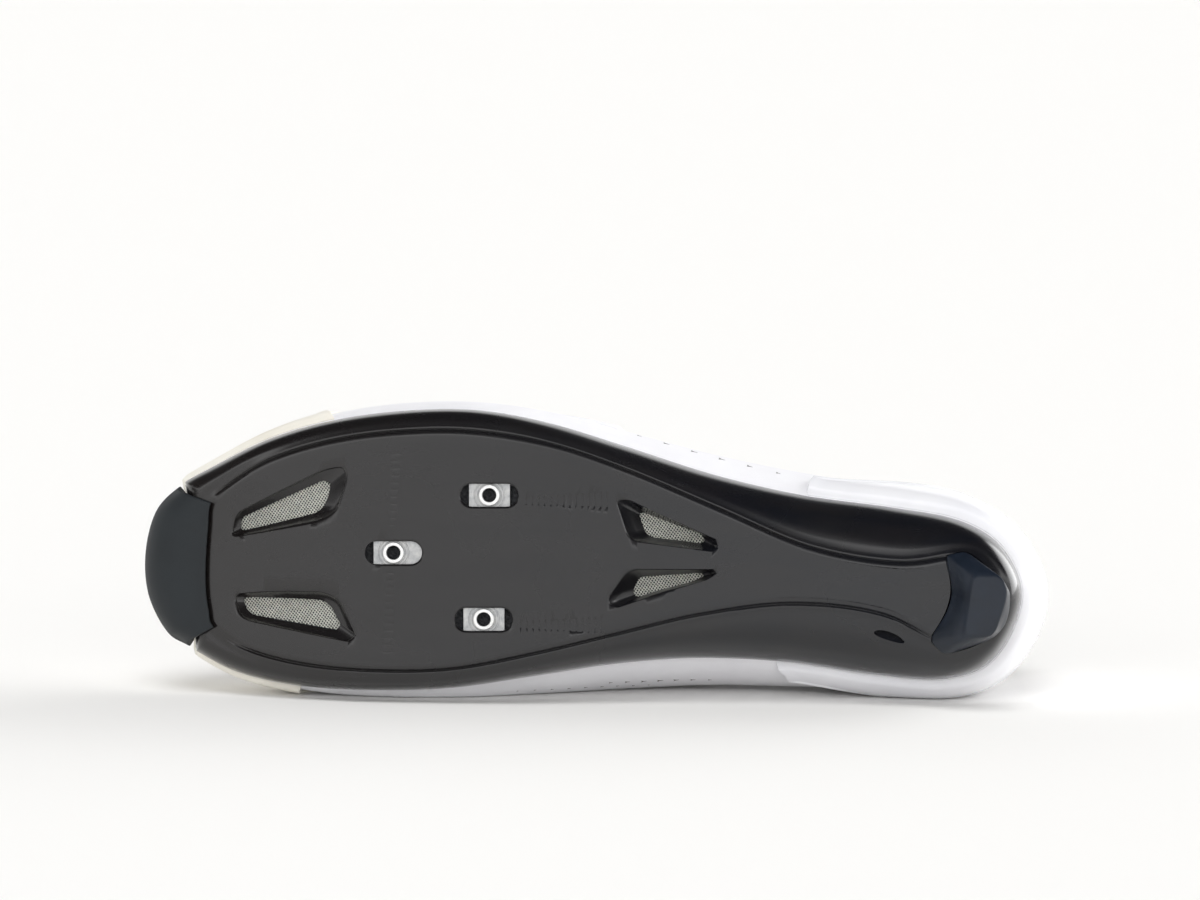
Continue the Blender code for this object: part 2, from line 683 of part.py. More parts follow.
# Tongue and straps span the throat from a lateral station to the medial one facing it
def span(w, margins, depth, lift, count):
    """Points from the lateral side over the throat to the medial side, off the upper's wall."""
    other = STATIONS - w
    left, right = [], []
    for v in margins:
        for station, side in ((w, left), (other, right)):
            side.append(skin(station, v) + skin_normal(station, v) * depth(station, v))
    a, b = left[-1], right[-1]
    ta = (left[-1] - left[-2]).normalized()
    tb = (right[-1] - right[-2]).normalized()
    width = (b - a).length
    middle = []
    for k in range(1, count + 1):
        t = k / (count + 1)
        p = hermite(a, b, ta * width * lift, tb * width * -lift, t)
        middle.append(p)
    return left + middle + list(reversed(right))


def under_wall(extra):
    return lambda w, v: -(wall(w, v) + COVER_GAP + extra)


tongue_rows = (11.5, 11.0, 10.0, 9.0, 8.0, 7.4, 6.8)
front, back = [], []
nose = (11.9, 12.5, 13.2, 14.1, 15.0, 15.9, 16.8, 17.5, 18.1)
throat = (12.0, 12.4, 13.0, 14.0, 15.0, 16.0, 17.0, 17.6, 18.0)
for extra, rows in ((0.0, front), (TONGUE, back)):
    depth = under_wall(extra)
    tip = []
    for w in nose:
        v = 0.86
        tip.append(skin(w, v) + skin_normal(w, v) * (depth(w, v) - 0.0018))
    rows.append(tip)
    lip = []
    for w, v in zip(throat, (0.85, 0.92, 0.985, 0.985, 0.985, 0.985, 0.985, 0.92, 0.85)):
        lip.append(skin(w, v) + skin_normal(w, v) * (depth(w, v) - 0.0008))
    rows.append(lip)
    for w in tongue_rows:
        lift = 0.55 if w < 11 else 0.1
        low = 0.84 + 0.11 * (1.0 - smooth(6.6, 8.0, w))
        rows.append(span(w, (low, (low + 0.99) / 2, 0.99), depth, lift, 3))
    last = rows[-1]
    centre = last[4]
    for k, (forward, rise, narrow) in enumerate(((0.026, 0.085, 0.72), (0.050, 0.165, 0.66),
                                                 (0.060, 0.205, 0.48))):
        row = []
        for p in last:
            q = p.copy()
            q.y = centre.y + (p.y - centre.y) * narrow
            q.x = p.x + forward * LENGTH
            q.z = centre.z + (p.z - centre.z) * (1.0 - 0.25 * (k + 1)) + rise * SHOE_HEIGHT
            row.append(q)
        rows.append(row)
add("tongue", *plate(front, back), (0.8, 0.8, 0.82), 0.8)

for name, first, low_v, high_v in (("strap_instep", 6.5, 0.40, 0.80), ("strap_fore", 8.5, 0.45, 0.72)):
    front, back = [], []
    for w in (first, first + 0.5, first + 1.0):
        for extra, rows in ((COVER_GAP, back), (COVER_GAP + STRAP, front)):
            lateral = [low_v + (1.0 - low_v) * k / 6 for k in range(7)]
            line = span(w, lateral, lambda station, v, e=extra: e, 0.45, 3)
            keep = 7 + 3 + round((1.0 - high_v) / (1.0 - low_v) * 6) + 1
            rows.append(line[:keep])
    add(name, *plate(front, back), (0.86, 0.86, 0.87), 0.5)


# Lay the shoe on its medial side
lay = Matrix.Rotation(math.radians(-90), 4, "X")
down = lay.to_3x3() @ Vector(DOWN).normalized()
pose = down.rotation_difference(Vector((0, 0, -1))).to_matrix().to_4x4() @ lay
laid = []
for item in bpy.data.objects:
    if item.type == "MESH" and not item.hide_render:
        laid += [pose @ v.co for v in item.data.vertices]
middle_x = (min(p.x for p in laid) + max(p.x for p in laid)) / 2
middle_y = (min(p.y for p in laid) + max(p.y for p in laid)) / 2
shoe.matrix_world = Matrix.Translation((-middle_x, -middle_y, -min(p.z for p in laid))) @ pose
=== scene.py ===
# Cycling shoe for the left foot, lying on its medial side with the sole turned to the camera.
# Each section makes one piece in the order in which the shoe is put together. Points are worked
# out on the standing shoe (x from toe to heel, -y lateral, z up) and laid down at the end.
import functools
import math

import bmesh
import bpy
from mathutils import Matrix, Vector


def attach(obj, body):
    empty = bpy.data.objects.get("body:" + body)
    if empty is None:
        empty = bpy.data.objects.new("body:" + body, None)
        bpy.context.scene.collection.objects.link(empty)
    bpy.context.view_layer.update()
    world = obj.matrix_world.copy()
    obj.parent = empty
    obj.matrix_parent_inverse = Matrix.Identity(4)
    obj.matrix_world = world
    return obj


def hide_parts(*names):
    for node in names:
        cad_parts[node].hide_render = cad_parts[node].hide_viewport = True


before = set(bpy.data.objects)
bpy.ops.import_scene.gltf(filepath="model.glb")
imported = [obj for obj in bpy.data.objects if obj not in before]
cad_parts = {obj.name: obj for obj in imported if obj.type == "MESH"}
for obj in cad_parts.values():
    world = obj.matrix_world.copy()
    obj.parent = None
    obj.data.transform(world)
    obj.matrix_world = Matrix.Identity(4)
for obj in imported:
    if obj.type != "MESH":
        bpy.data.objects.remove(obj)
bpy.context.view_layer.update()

# Sole plate
# The real one is a moulded plate of stiff black composite with a clear gloss. It comes out of
# one mould: a flat bridge, a ribbed bevel round it, flanges and the cup that holds the upper.
LENGTH = 0.276
BALL_WIDTH = 0.094
SOLE_HEIGHT = 0.027
FLOOR = 0.005
SHELL = 0.0022
CHAMFER = 0.003
BEVEL_RISE = 0.0014
BUMPER = 0.003
GAP = 0.0003
STATIONS = 30
SOLE_COLUMNS = 360

# Station by station from the heel over the lateral side and the toe: along, across, height
RIM = (
    (0.975, -0.020, 0.96), (0.951, -0.175, 0.96), (0.900, -0.257, 0.95), (0.820, -0.281, 0.93),
    (0.720, -0.294, 0.89), (0.620, -0.334, 0.81), (0.520, -0.399, 0.67), (0.430, -0.453, 0.50),
    (0.350, -0.472, 0.41), (0.270, -0.448, 0.41), (0.190, -0.394, 0.50), (0.120, -0.314, 0.66),
    (0.060, -0.207, 0.80), (0.027, -0.140, 0.85), (0.002, -0.050, 0.88), (-0.006, 0.090, 0.89),
    (0.002, 0.230, 0.88), (0.027, 0.345, 0.85), (0.055, 0.387, 0.80), (0.110, 0.452, 0.68),
    (0.180, 0.478, 0.52), (0.260, 0.471, 0.43), (0.350, 0.440, 0.46), (0.440, 0.378, 0.63),
    (0.530, 0.313, 0.80), (0.620, 0.270, 0.93), (0.720, 0.256, 1.00), (0.820, 0.271, 0.98),
    (0.900, 0.262, 0.96), (0.951, 0.180, 0.96),
)
RIDGE = (
    (0.945, -0.010), (0.938, -0.090), (0.910, -0.140), (0.835, -0.095), (0.735, -0.118),
    (0.630, -0.216), (0.530, -0.310), (0.440, -0.374), (0.350, -0.394), (0.270, -0.371),
    (0.195, -0.322), (0.130, -0.246), (0.085, -0.150), (0.067, -0.090), (0.066, -0.010),
    (0.067, 0.100), (0.070, 0.190), (0.075, 0.255), (0.083, 0.310), (0.120, 0.365),
    (0.180, 0.396), (0.260, 0.399), (0.350, 0.370), (0.440, 0.295), (0.530, 0.206),
    (0.620, 0.118), (0.720, 0.055), (0.820, 0.062), (0.905, 0.150), (0.936, 0.090),
)
BRIDGE = (
    (0.00, 0.70), (0.07, 0.47), (0.15, 0.22), (0.22, 0.06), (0.265, 0.0), (0.41, 0.0),
    (0.48, 0.08), (0.56, 0.20), (0.66, 0.30), (0.76, 0.33), (0.86, 0.30), (0.93, 0.27),
    (1.00, 0.27),
)
THICKNESS = ((0.00, 0.95), (0.20, 1.0), (0.42, 1.0), (0.56, 1.45), (0.68, 1.1), (1.00, 0.95))
SPINE = ((0.12, 0.060), (0.20, 0.035), (0.30, 0.0), (0.45, -0.045), (0.58, -0.055),
         (0.75, -0.030), (0.90, 0.0))

# How the shoe lies: the way down to the floor, and where the middle of the sole then is
DOWN = Vector((0.0727, 0.9897, 0.1233)).normalized()
REST = 0.0433
on_side = Matrix.Rotation(math.radians(-90), 4, "X")
settled = (on_side.to_3x3() @ DOWN).rotation_difference(Vector((0, 0, -1))).to_matrix().to_4x4()
LAID = Matrix.Translation((0.000233, -0.05369, REST)) @ settled @ on_side


def hermite(a, b, ta, tb, t):
    return ((1 + 2 * t) * (1 - t) ** 2 * a + t * (1 - t) ** 2 * ta
            + t * t * (3 - 2 * t) * b - t * t * (1 - t) * tb)


def curve(rows, x):
    """Monotone cubic through (x, value) rows: level rows stay level."""
    xs = [row[0] for row in rows]
    ys = [row[1] for row in rows]
    if x <= xs[0]:
        return ys[0]
    if x >= xs[-1]:
        return ys[-1]
    slopes = [(ys[i + 1] - ys[i]) / (xs[i + 1] - xs[i]) for i in range(len(xs) - 1)]
    tangents = [slopes[0]]
    for a, b in zip(slopes, slopes[1:]):
        tangents.append(0.0 if a * b <= 0 else 2 * a * b / (a + b))
    tangents.append(slopes[-1])
    i = 0
    while x > xs[i + 1]:
        i += 1
    h = xs[i + 1] - xs[i]
    return hermite(ys[i], ys[i + 1], tangents[i] * h, tangents[i + 1] * h, (x - xs[i]) / h)


def ring(rows, station):
    """Smooth closed curve through rows that start with their station."""
    station = station % STATIONS
    n = len(rows)
    i = n - 1
    for k in range(n):
        if rows[k][0] <= station:
            i = k
    knots = [rows[k % n][0] + STATIONS * (k // n) for k in (i - 1, i, i + 1, i + 2)]
    values = [rows[k % n][1:] for k in (i - 1, i, i + 1, i + 2)]
    if station < knots[1]:
        station += STATIONS
    h0, h1, h2 = knots[1] - knots[0], knots[2] - knots[1], knots[3] - knots[2]
    t = (station - knots[1]) / h1
    out = []
    for a, b, c, d in zip(*values):
        s0, s1, s2 = (b - a) / h0, (c - b) / h1, (d - c) / h2
        tb = (s0 * h1 + s1 * h0) / (h0 + h1)
        tc = (s1 * h2 + s2 * h1) / (h1 + h2)
        out.append(hermite(b, c, tb * h1, tc * h1, t))
    return out


def smooth(a, b, x):
    t = min(max((x - a) / (b - a), 0.0), 1.0)
    return t * t * (3 - 2 * t)


RIM_ROWS = [(k,) + row for k, row in enumerate(RIM)]
RIDGE_ROWS = [(k,) + row for k, row in enumerate(RIDGE)]


def along(share):
    return (share - 0.5) * LENGTH


@functools.lru_cache(maxsize=None)
def bridge_z(x):
    return curve(BRIDGE, x / LENGTH + 0.5) * SOLE_HEIGHT


@functools.lru_cache(maxsize=None)
def bed_z(x):
    return bridge_z(x) + curve(THICKNESS, x / LENGTH + 0.5) * FLOOR


@functools.lru_cache(maxsize=None)
def measured_rim(w):
    s, y, z = ring(RIM_ROWS, w)
    return Vector((along(s), y * BALL_WIDTH, z * SOLE_HEIGHT))


@functools.lru_cache(maxsize=None)
def outward(w):
    step = measured_rim(w + 0.1) - measured_rim(w - 0.1)
    return Vector((-step.y, step.x, 0.0)).normalized()


@functools.lru_cache(maxsize=None)
def rim(w):
    """The rim of the plate, drawn in at the toe where the bumper covers it."""
    covered = smooth(12.85, 13.0, w) * (1.0 - smooth(18.0, 18.15, w))
    return measured_rim(w) - outward(w) * (BUMPER + GAP) * covered


@functools.lru_cache(maxsize=None)
def ridge(w):
    s, y = ring(RIDGE_ROWS, w)
    x = along(s)
    return Vector((x, y * BALL_WIDTH, bridge_z(x)))


@functools.lru_cache(maxsize=None)
def spine(w):
    """Point of the middle line, the same for a station and the one facing it."""
    s = (ridge(w).x + ridge(STATIONS - w).x) / 2 / LENGTH + 0.5
    s = min(max(s, SPINE[0][0]), SPINE[-1][0])
    x = along(s)
    return Vector((x, curve(SPINE, s) * BALL_WIDTH, bridge_z(x)))


def flange(w, t, inside=0.0):
    """From the bevel of the bridge (t = 0) up to the rim (t = 1); inside is the depth in it."""
    edge, top = ridge(w), rim(w)
    way = Vector((top.x - edge.x, top.y - edge.y, 0.0))
    reach = way.length
    way.normalize()
    a = Vector((min(CHAMFER, reach * 0.4), edge.z + BEVEL_RISE))
    d = Vector((reach, top.z))
    b = a + Vector(((d.x - a.x) * 0.62, (d.y - a.y) * 0.02))
    c = d - Vector(((d.x - a.x) * 0.02, (d.y - a.y) * 0.62))
    point = a * (1 - t) ** 3 + b * 3 * t * (1 - t) ** 2 + c * 3 * t * t * (1 - t) + d * t ** 3
    if inside:
        run = (b - a) * (1 - t) ** 2 + (c - b) * 2 * t * (1 - t) + (d - c) * t * t
        normal = Vector((-run.y, run.x)).normalized()
        if t > 0.999:
            normal = Vector((-1.0, 0.0))
        point = point + normal * inside
    place = edge + way * point.x
    return Vector((place.x, place.y, point.y))


@functools.lru_cache(maxsize=None)
def bed_edge(w):
    """Where the inside of the cup meets the bed of the sole."""
    low, high = 0.0, 1.0
    for _ in range(20):
        mid = (low + high) / 2
        p = flange(w, mid, SHELL)
        if p.z < bed_z(p.x):
            low = mid
        else:
            high = mid
    return high


def bed_point(w, share, inset=0.0):
    edge = flange(w, bed_edge(w), SHELL)
    middle = spine(w)
    way = Vector((edge.x - middle.x, edge.y - middle.y, 0.0))
    p = middle + way * share
    if inset:
        p = p - way.normalized() * inset
    p.z = bed_z(p.x)
    return p


# Making and finishing a mesh
def surface(bm, columns, rows, place, matter=0):
    """Grid of columns by rows with its points at place(u, v), and u and v as its UV map."""
    made = bmesh.ops.create_grid(bm, x_segments=columns, y_segments=rows, size=0.5)
    spots = {v: (round((v.co.x + 0.5) * columns) / columns, round((v.co.y + 0.5) * rows) / rows)
             for v in made["verts"]}
    layer = bm.loops.layers.uv.verify()
    for v in made["verts"]:
        for loop in v.link_loops:
            loop[layer].uv = spots[v]
            loop.face.smooth = True
            loop.face.material_index = matter
    for v, (a, b) in spots.items():
        v.co = place(a, b)


def closed(bm, merge=0.000004):
    """Joins seams and poles, fills what is left open and turns all faces outward."""
    bmesh.ops.remove_doubles(bm, verts=bm.verts, dist=merge)
    bmesh.ops.dissolve_degenerate(bm, edges=bm.edges, dist=merge / 2)
    bmesh.ops.holes_fill(bm, edges=[e for e in bm.edges if e.is_boundary], sides=0)
    bmesh.ops.recalc_face_normals(bm, faces=bm.faces)


def piece(bm, name, finishes, body="shoe", stands_for=(), sharp=35.0, laid=True):
    """Object from a bmesh on the standing shoe, laid down and riding on its body."""
    if laid:
        bm.transform(LAID)
    mesh = bpy.data.meshes.new(name)
    bm.to_mesh(mesh)
    bm.free()
    mesh.set_sharp_from_angle(angle=math.radians(sharp))
    item = bpy.data.objects.new(name, mesh)
    bpy.context.scene.collection.objects.link(item)
    for one in finishes:
        mesh.materials.append(one)
    if body:
        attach(item, body)
        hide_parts(*stands_for)
    return item


def rounded_edges(item, width, segments=3, angle=40.0):
    step = item.modifiers.new("rounded", "BEVEL")
    step.width = width
    step.segments = segments
    step.limit_method = "ANGLE"
    step.angle_limit = math.radians(angle)


def thickened(item, thick, rounding, even=False):
    """Gives a sheet its thickness, half to each side, and rounds its edges."""
    step = item.modifiers.new("thickness", "SOLIDIFY")
    step.thickness = thick
    step.offset = 0.0
    step.use_even_offset = even
    rounded_edges(item, thick * rounding, 3, 50)


def tint(red, green, blue):
    """Linear colour from the screen's 0 to 255."""
    return tuple(((c / 255 + 0.055) / 1.055) ** 2.4 if c > 10 else c / 3295
                 for c in (red, green, blue)) + (1.0,)


def finish(name, colour, roughness, **constants):
    """Material with its principled shader, whose constant sockets are set by name."""
    made = bpy.data.materials.new(name)
    made.use_nodes = True
    shader = made.node_tree.nodes["Principled BSDF"]
    shader.inputs["Base Color"].default_value = colour
    shader.inputs["Roughness"].default_value = roughness
    for socket, value in constants.items():
        shader.inputs[socket.replace("_", " ").title().replace("Ior", "IOR")].default_value = value
    return made, shader


def node(made, kind, feeds, **settings):
    """New node of a material: feeds gives its inputs, as numbers or as other nodes' outputs."""
    one = made.node_tree.nodes.new("ShaderNode" + kind)
    for key, value in settings.items():
        setattr(one, key, value)
    for socket, value in feeds.items():
        if isinstance(value, bpy.types.NodeSocket):
            made.node_tree.links.new(value, one.inputs[socket])
        else:
            one.inputs[socket].default_value = value
    return one


def places(made, scale=(1.0, 1.0, 1.0), turn=(0.0, 0.0, 0.0)):
    """Object coordinates, stretched and turned."""
    source = node(made, "TexCoord", {}).outputs["Object"]
    return node(made, "Mapping", {"Vector": source, "Scale": scale,
                                  "Rotation": tuple(math.radians(a) for a in turn)}).outputs[0]


def noise(made, where, scale, detail=3.0, roughness=0.55):
    return node(made, "TexNoise", {"Vector": where, "Scale": scale, "Detail": detail,
                                   "Roughness": roughness}).outputs["Fac"]


def between(made, value, low, high, start=0.0, end=1.0):
    """Value mapped from start and end to low and high."""
    return node(made, "MapRange", {"Value": value, "From Min": start, "From Max": end,
                                   "To Min": low, "To Max": high}).outputs[0]


def blend_colours(made, share, first, second):
    mix = node(made, "Mix", {"Factor": share, 6: first, 7: second}, data_type="RGBA")
    return mix.outputs[2]


def times(made, a, b):
    return node(made, "Math", {0: a, 1: b}, operation="MULTIPLY").outputs[0]


def plus(made, a, b):
    return node(made, "Math", {0: a, 1: b}, operation="ADD").outputs[0]


def feed(made, shader, socket, value):
    made.node_tree.links.new(value, shader.inputs[socket])


def relief(made, shader, height, distance, strength=1.0):
    bump = node(made, "Bump", {"Height": height, "Distance": distance, "Strength": strength})
    feed(made, shader, "Normal", bump.outputs[0])


def two_tones(made, shader, share, first, second, low=0.3, high=0.7):
    """Base colour that goes from the first tint to the second as share goes from low to high."""
    mix = between(made, share, 0.0, 1.0, low, high)
    feed(made, shader, "Base Color", blend_colours(made, mix, tint(*first), tint(*second)))


def uneven_gloss(made, shader, share, low, high):
    """Roughness that goes from low to high where the noise of share changes most."""
    feed(made, shader, "Roughness", between(made, share, low, high, 0.3, 0.7))


def rubber_finish(name, colour, roughness, patch_scale, tones, gloss, pore_scale, pore_depth,
                  pore_strength, specular):
    """Matt rubber with patches in two tones and fine pores."""
    made, shader = finish(name, colour, roughness, specular_ior_level=specular)
    where = places(made)
    patches = noise(made, where, patch_scale, 4.0)
    two_tones(made, shader, patches, *tones)
    uneven_gloss(made, shader, patches, *gloss)
    relief(made, shader, noise(made, where, pore_scale, 3.0), pore_depth, pore_strength)
    return made


# Where the section of the plate has its points: as shares from the middle line to the ridge, of
# the flange up to the rim, of the cup's inside down to the bed, and of the bed to the middle line
PLATEAU_STEPS = (0.0, 0.2, 0.4, 0.58, 0.74, 0.86)
FLANGE_STEPS = (0.06, 0.12, 0.19, 0.27, 0.36, 0.45, 0.54, 0.63, 0.72, 0.81, 0.89, 0.95)
CUP_STEPS = (0.85, 0.68, 0.5, 0.3, 0.12, 0.0)
BED_STEPS = (0.9, 0.6, 0.3, 0.0)
# The softly rounded top of the rim: inward and down
RIM_TOP = ((0.0, 0.0005), (0.0001, 0.00015), (0.0004, 0.0), (SHELL - 0.0004, 0.0),
           (SHELL - 0.0001, 0.00015), (SHELL, 0.0005))
# Cross-section of the bevel: outward in shares of the chamfer, and up
BEVEL = ((-0.45, 0.0), (-0.25, 0.00004), (-0.08, 0.00010), (0.02, 0.00018), (0.08, 0.00045),
         (0.15, 0.00090), (0.22, 0.00122), (0.29, 0.00132), (0.36, 0.00126), (0.43, 0.00108),
         (0.52, 0.00104), (0.64, 0.00112), (0.80, 0.00124), (1.00, 0.00136))


def bevelled(w):
    """Share of the bevel that is there: it runs out at the toe bumper and the heel pad."""
    lateral = smooth(1.9, 2.5, w) * (1.0 - smooth(12.0, 12.7, w))
    medial = smooth(18.2, 19.3, w) * (1.0 - smooth(27.2, 28.1, w))
    return lateral + medial


@functools.lru_cache(maxsize=None)
def sole_section(w):
    """Points of the plate from its middle line out over the rim and back over the bed."""
    edge, middle, top = ridge(w), spine(w), rim(w)
    way = Vector((top.x - edge.x, top.y - edge.y, 0.0))
    start = min(CHAMFER, way.length * 0.4)
    way.normalize()
    out = []
    for share in PLATEAU_STEPS:
        p = middle.lerp(edge, share)
        p.z = bridge_z(p.x)
        out.append(p)
    for off, rise in BEVEL:
        plain = BEVEL_RISE * smooth(-0.45, 1.3, off) * 1.1
        rise = plain + (rise - plain) * bevelled(w)
        p = edge + way * (off * start)
        p.z = (bridge_z(p.x) if off < 0 else edge.z) + rise
        out.append(p)
    for t in FLANGE_STEPS:
        out.append(flange(w, t))
    for inside, drop in RIM_TOP:
        out.append(top - way * inside - Vector((0, 0, drop)))
    for share in CUP_STEPS:
        t = bed_edge(w) + (1 - bed_edge(w)) * share
        out.append(flange(w, t, SHELL))
    for share in BED_STEPS:
        out.append(bed_point(w, share))
    return out


SOLE_ROWS = len(sole_section(0.0)) - 1

# Cleat slots, their pockets, and the scale marks beside them
SLOT_LENGTH = 0.0175
SLOT_WIDTH = 0.007
SLOT_TURN = math.radians(-5.3)
LIP = 0.0024
TRAVEL = 0.0045
CLEARANCE = 0.0004
# Rounded mouth of a slot: how far out it is, and how deep
SLOT_MOUTH = ((0.0006, -0.001), (0.0006, 0.00001), (0.0003, 0.00012), (0.0001, 0.00030),
              (0.0, 0.0006), (0.0, LIP + 0.0002))
# Name, along, across, size of the nut's plate and how far it is moved against its barrel
SLOTS = (
    ("front", 0.275, 0.017, (0.0170, 0.0122, 0.0014), 0.0022),
    ("rear_lateral", 0.375, -0.198, (0.0128, 0.0122, 0.0014), 0.0),
    ("rear_medial", 0.3815, 0.206, (0.0128, 0.0122, 0.0014), 0.0),
)
# Rows of marks: first and last (along, across), their number, length of the first and the last,
# and if they run across the shoe
MARKS = (
    ((0.2715, -0.049), (0.2680, -0.303), 12, 0.0018, 0.0036, False),
    ((0.2740, 0.084), (0.2790, 0.341), 12, 0.0024, 0.0036, False),
    ((0.4165, -0.189), (0.5055, -0.219), 14, 0.0022, 0.0050, True),
    ((0.4230, 0.214), (0.5115, 0.190), 14, 0.0022, 0.0050, True),
)
MARK_WIDTH = 0.00075
MARK_DEPTH = 0.00004
REAR_MARK_DEPTH = 0.00016

# Soft mouth of a vent: how far out it is, and how deep
VENT_MOUTH = ((0.0017, -0.0010), (0.0012, -0.00006), (0.0009, 0.00006), (0.0006, 0.00022),
              (0.0003, 0.00048), (0.0001, 0.00090))
MOUTH_ROUNDING = 0.0030
WINDOW_ROUNDING = 0.0016
SCREEN_SEAT = 0.0022
SEAT_HEIGHT = 0.0084
# Vents: outline of the mouth and of the window, along and across
VENTS = (
    ("front_lateral",
     ((0.093, 0.014), (0.096, -0.065), (0.192, -0.232), (0.211, -0.245), (0.214, -0.200),
      (0.206, -0.105), (0.192, -0.074)),
     ((0.103, -0.012), (0.102, -0.052), (0.187, -0.190), (0.194, -0.182), (0.193, -0.150),
      (0.190, -0.116), (0.183, -0.092))),
    ("front_medial",
     ((0.102, 0.200), (0.150, 0.180), (0.201, 0.168), (0.218, 0.187), (0.240, 0.296),
      (0.233, 0.316), (0.120, 0.278), (0.110, 0.258)),
     ((0.113, 0.208), (0.155, 0.200), (0.200, 0.195), (0.209, 0.212), (0.220, 0.262),
      (0.215, 0.279), (0.125, 0.258), (0.117, 0.240))),
    ("mid_lateral",
     ((0.533, -0.112), (0.542, -0.095), (0.624, -0.084), (0.631, -0.099), (0.628, -0.122),
      (0.530, -0.222), (0.517, -0.216)),
     ((0.552, -0.124), (0.560, -0.112), (0.612, -0.108), (0.616, -0.116), (0.611, -0.138),
      (0.548, -0.186), (0.543, -0.182))),
    ("mid_medial",
     ((0.537, 0.005), (0.628, -0.022), (0.632, -0.012), (0.621, 0.014), (0.572, 0.066),
      (0.530, 0.125), (0.520, 0.118), (0.519, 0.095)),
     ((0.549, 0.023), (0.616, -0.008), (0.619, 0.000), (0.606, 0.022), (0.572, 0.058),
      (0.552, 0.084), (0.546, 0.082), (0.545, 0.062))),
)


def rounded(points, radius, steps=4):
    """Outline with each corner turned into a short arc."""
    out = []
    n = len(points)
    for i in range(n):
        before, corner, after = points[i - 1], points[i], points[(i + 1) % n]
        to, fro = before - corner, after - corner
        cut = min(radius, to.length * 0.45, fro.length * 0.45)
        p, q = corner + to.normalized() * cut, corner + fro.normalized() * cut
        for k in range(steps + 1):
            t = k / steps
            out.append(p * (1 - t) ** 2 + corner * 2 * t * (1 - t) + q * t * t)
    return out


def in_plan(outline, grow=0.0):
    """Points in metres of an outline given in shares, moved away from its middle by grow."""
    points = [Vector((along(s), y * BALL_WIDTH)) for s, y in outline]
    middle = sum(points, Vector((0.0, 0.0))) / len(points)
    return [p + (p - middle).normalized() * grow for p in points]


def window_z(window, x):
    """Height of the plane of a vent's window, which follows the bed over it."""
    first, last = min(p.x for p in window), max(p.x for p in window)
    low, high = bed_z(first), bed_z(last)
    return low + (high - low) * (x - first) / (last - first) - 0.0024


def stack(bm, rings):
    """Closed body through rings of points, with flat ends."""
    n = len(rings[0])
    rows = len(rings) - 1
    surface(bm, n, rows, lambda u, v: rings[round(v * rows)][round(u * n) % n])


def turned(x, y, a, b):
    c, s = math.cos(SLOT_TURN), math.sin(SLOT_TURN)
    return Vector((x + c * a - s * b, y + s * a + c * b))


def capsule(x, y, length, width, z, corners=14):
    out = []
    r = width / 2
    half = length / 2 - r
    for start, side in ((-90, 1), (90, -1)):
        for k in range(corners + 1):
            a = math.radians(start + 180 * k / corners)
            p = turned(x, y, side * half + r * math.cos(a), r * math.sin(a))
            out.append(p.to_3d() + Vector((0, 0, z)))
    return out


openings, pockets = bmesh.new(), bmesh.new()
for tag, s, across, size, shift in SLOTS:
    x, y = along(s), across * BALL_WIDTH
    stack(openings, [capsule(x, y, SLOT_LENGTH + 2 * grow, SLOT_WIDTH + 2 * grow, z)
                     for grow, z in SLOT_MOUTH])
    corners = [Vector((sx * (size[0] / 2 + TRAVEL + CLEARANCE) + shift,
                       sy * (size[1] / 2 + CLEARANCE)))
               for sx, sy in ((1, -1), (1, 1), (-1, 1), (-1, -1))]
    block = rounded(corners, 0.0015)
    stack(pockets, [[turned(x, y, *p).to_3d() + Vector((0, 0, z)) for p in block]
                    for z in (LIP, FLOOR + 0.002)])
for tag, mouth, window in VENTS:
    outer = rounded(in_plan(mouth), MOUTH_ROUNDING, 6)
    inner = rounded(in_plan(window), WINDOW_ROUNDING, 6)
    middle = sum(outer, Vector((0.0, 0.0))) / len(outer)
    rings = []
    for grow, depth in VENT_MOUTH:
        rings.append([])
        for p in outer:
            q = p + (p - middle).normalized() * grow
            rings[-1].append(Vector((q.x, q.y, bridge_z(q.x) + depth)))
    floor_ring = [Vector((p.x, p.y, window_z(inner, p.x) + 0.0003)) for p in inner]
    rings.append([a.lerp(b, 0.5) + Vector((0, 0, 0.0001)) for a, b in zip(rings[-1], floor_ring)])
    rings.append(floor_ring)
    stack(openings, rings)
    seat = rounded(in_plan(window, SCREEN_SEAT), WINDOW_ROUNDING, 6)
    stack(pockets, [[Vector((p.x, p.y, window_z(inner, p.x) + h)) for p in seat]
                    for h in (0.0, SEAT_HEIGHT)])
for first, last, count, short, long, across in MARKS:
    for k in range(count):
        t = k / (count - 1)
        middle = Vector(first).lerp(Vector(last), t)
        x, y = along(middle.x), middle.y * BALL_WIDTH
        half, thin = (short + (long - short) * t) / 2, MARK_WIDTH / 2
        if across:
            half, thin = thin, half
        groove = []
        deep = REAR_MARK_DEPTH if across else MARK_DEPTH
        for narrow, z in ((0.0, -0.0008), (0.0, 0.0), (MARK_WIDTH * 0.4, deep)):
            corners = [Vector((sx * (half - narrow), sy * (thin - narrow)))
                       for sx, sy in ((1, -1), (1, 1), (-1, 1), (-1, -1))]
            groove.append([turned(x, y, *p).to_3d() + Vector((0, 0, bridge_z(x) + z))
                           for p in rounded(corners, MARK_WIDTH * 0.45, 2)])
        stack(openings, groove)
for bm in (openings, pockets):
    closed(bm)


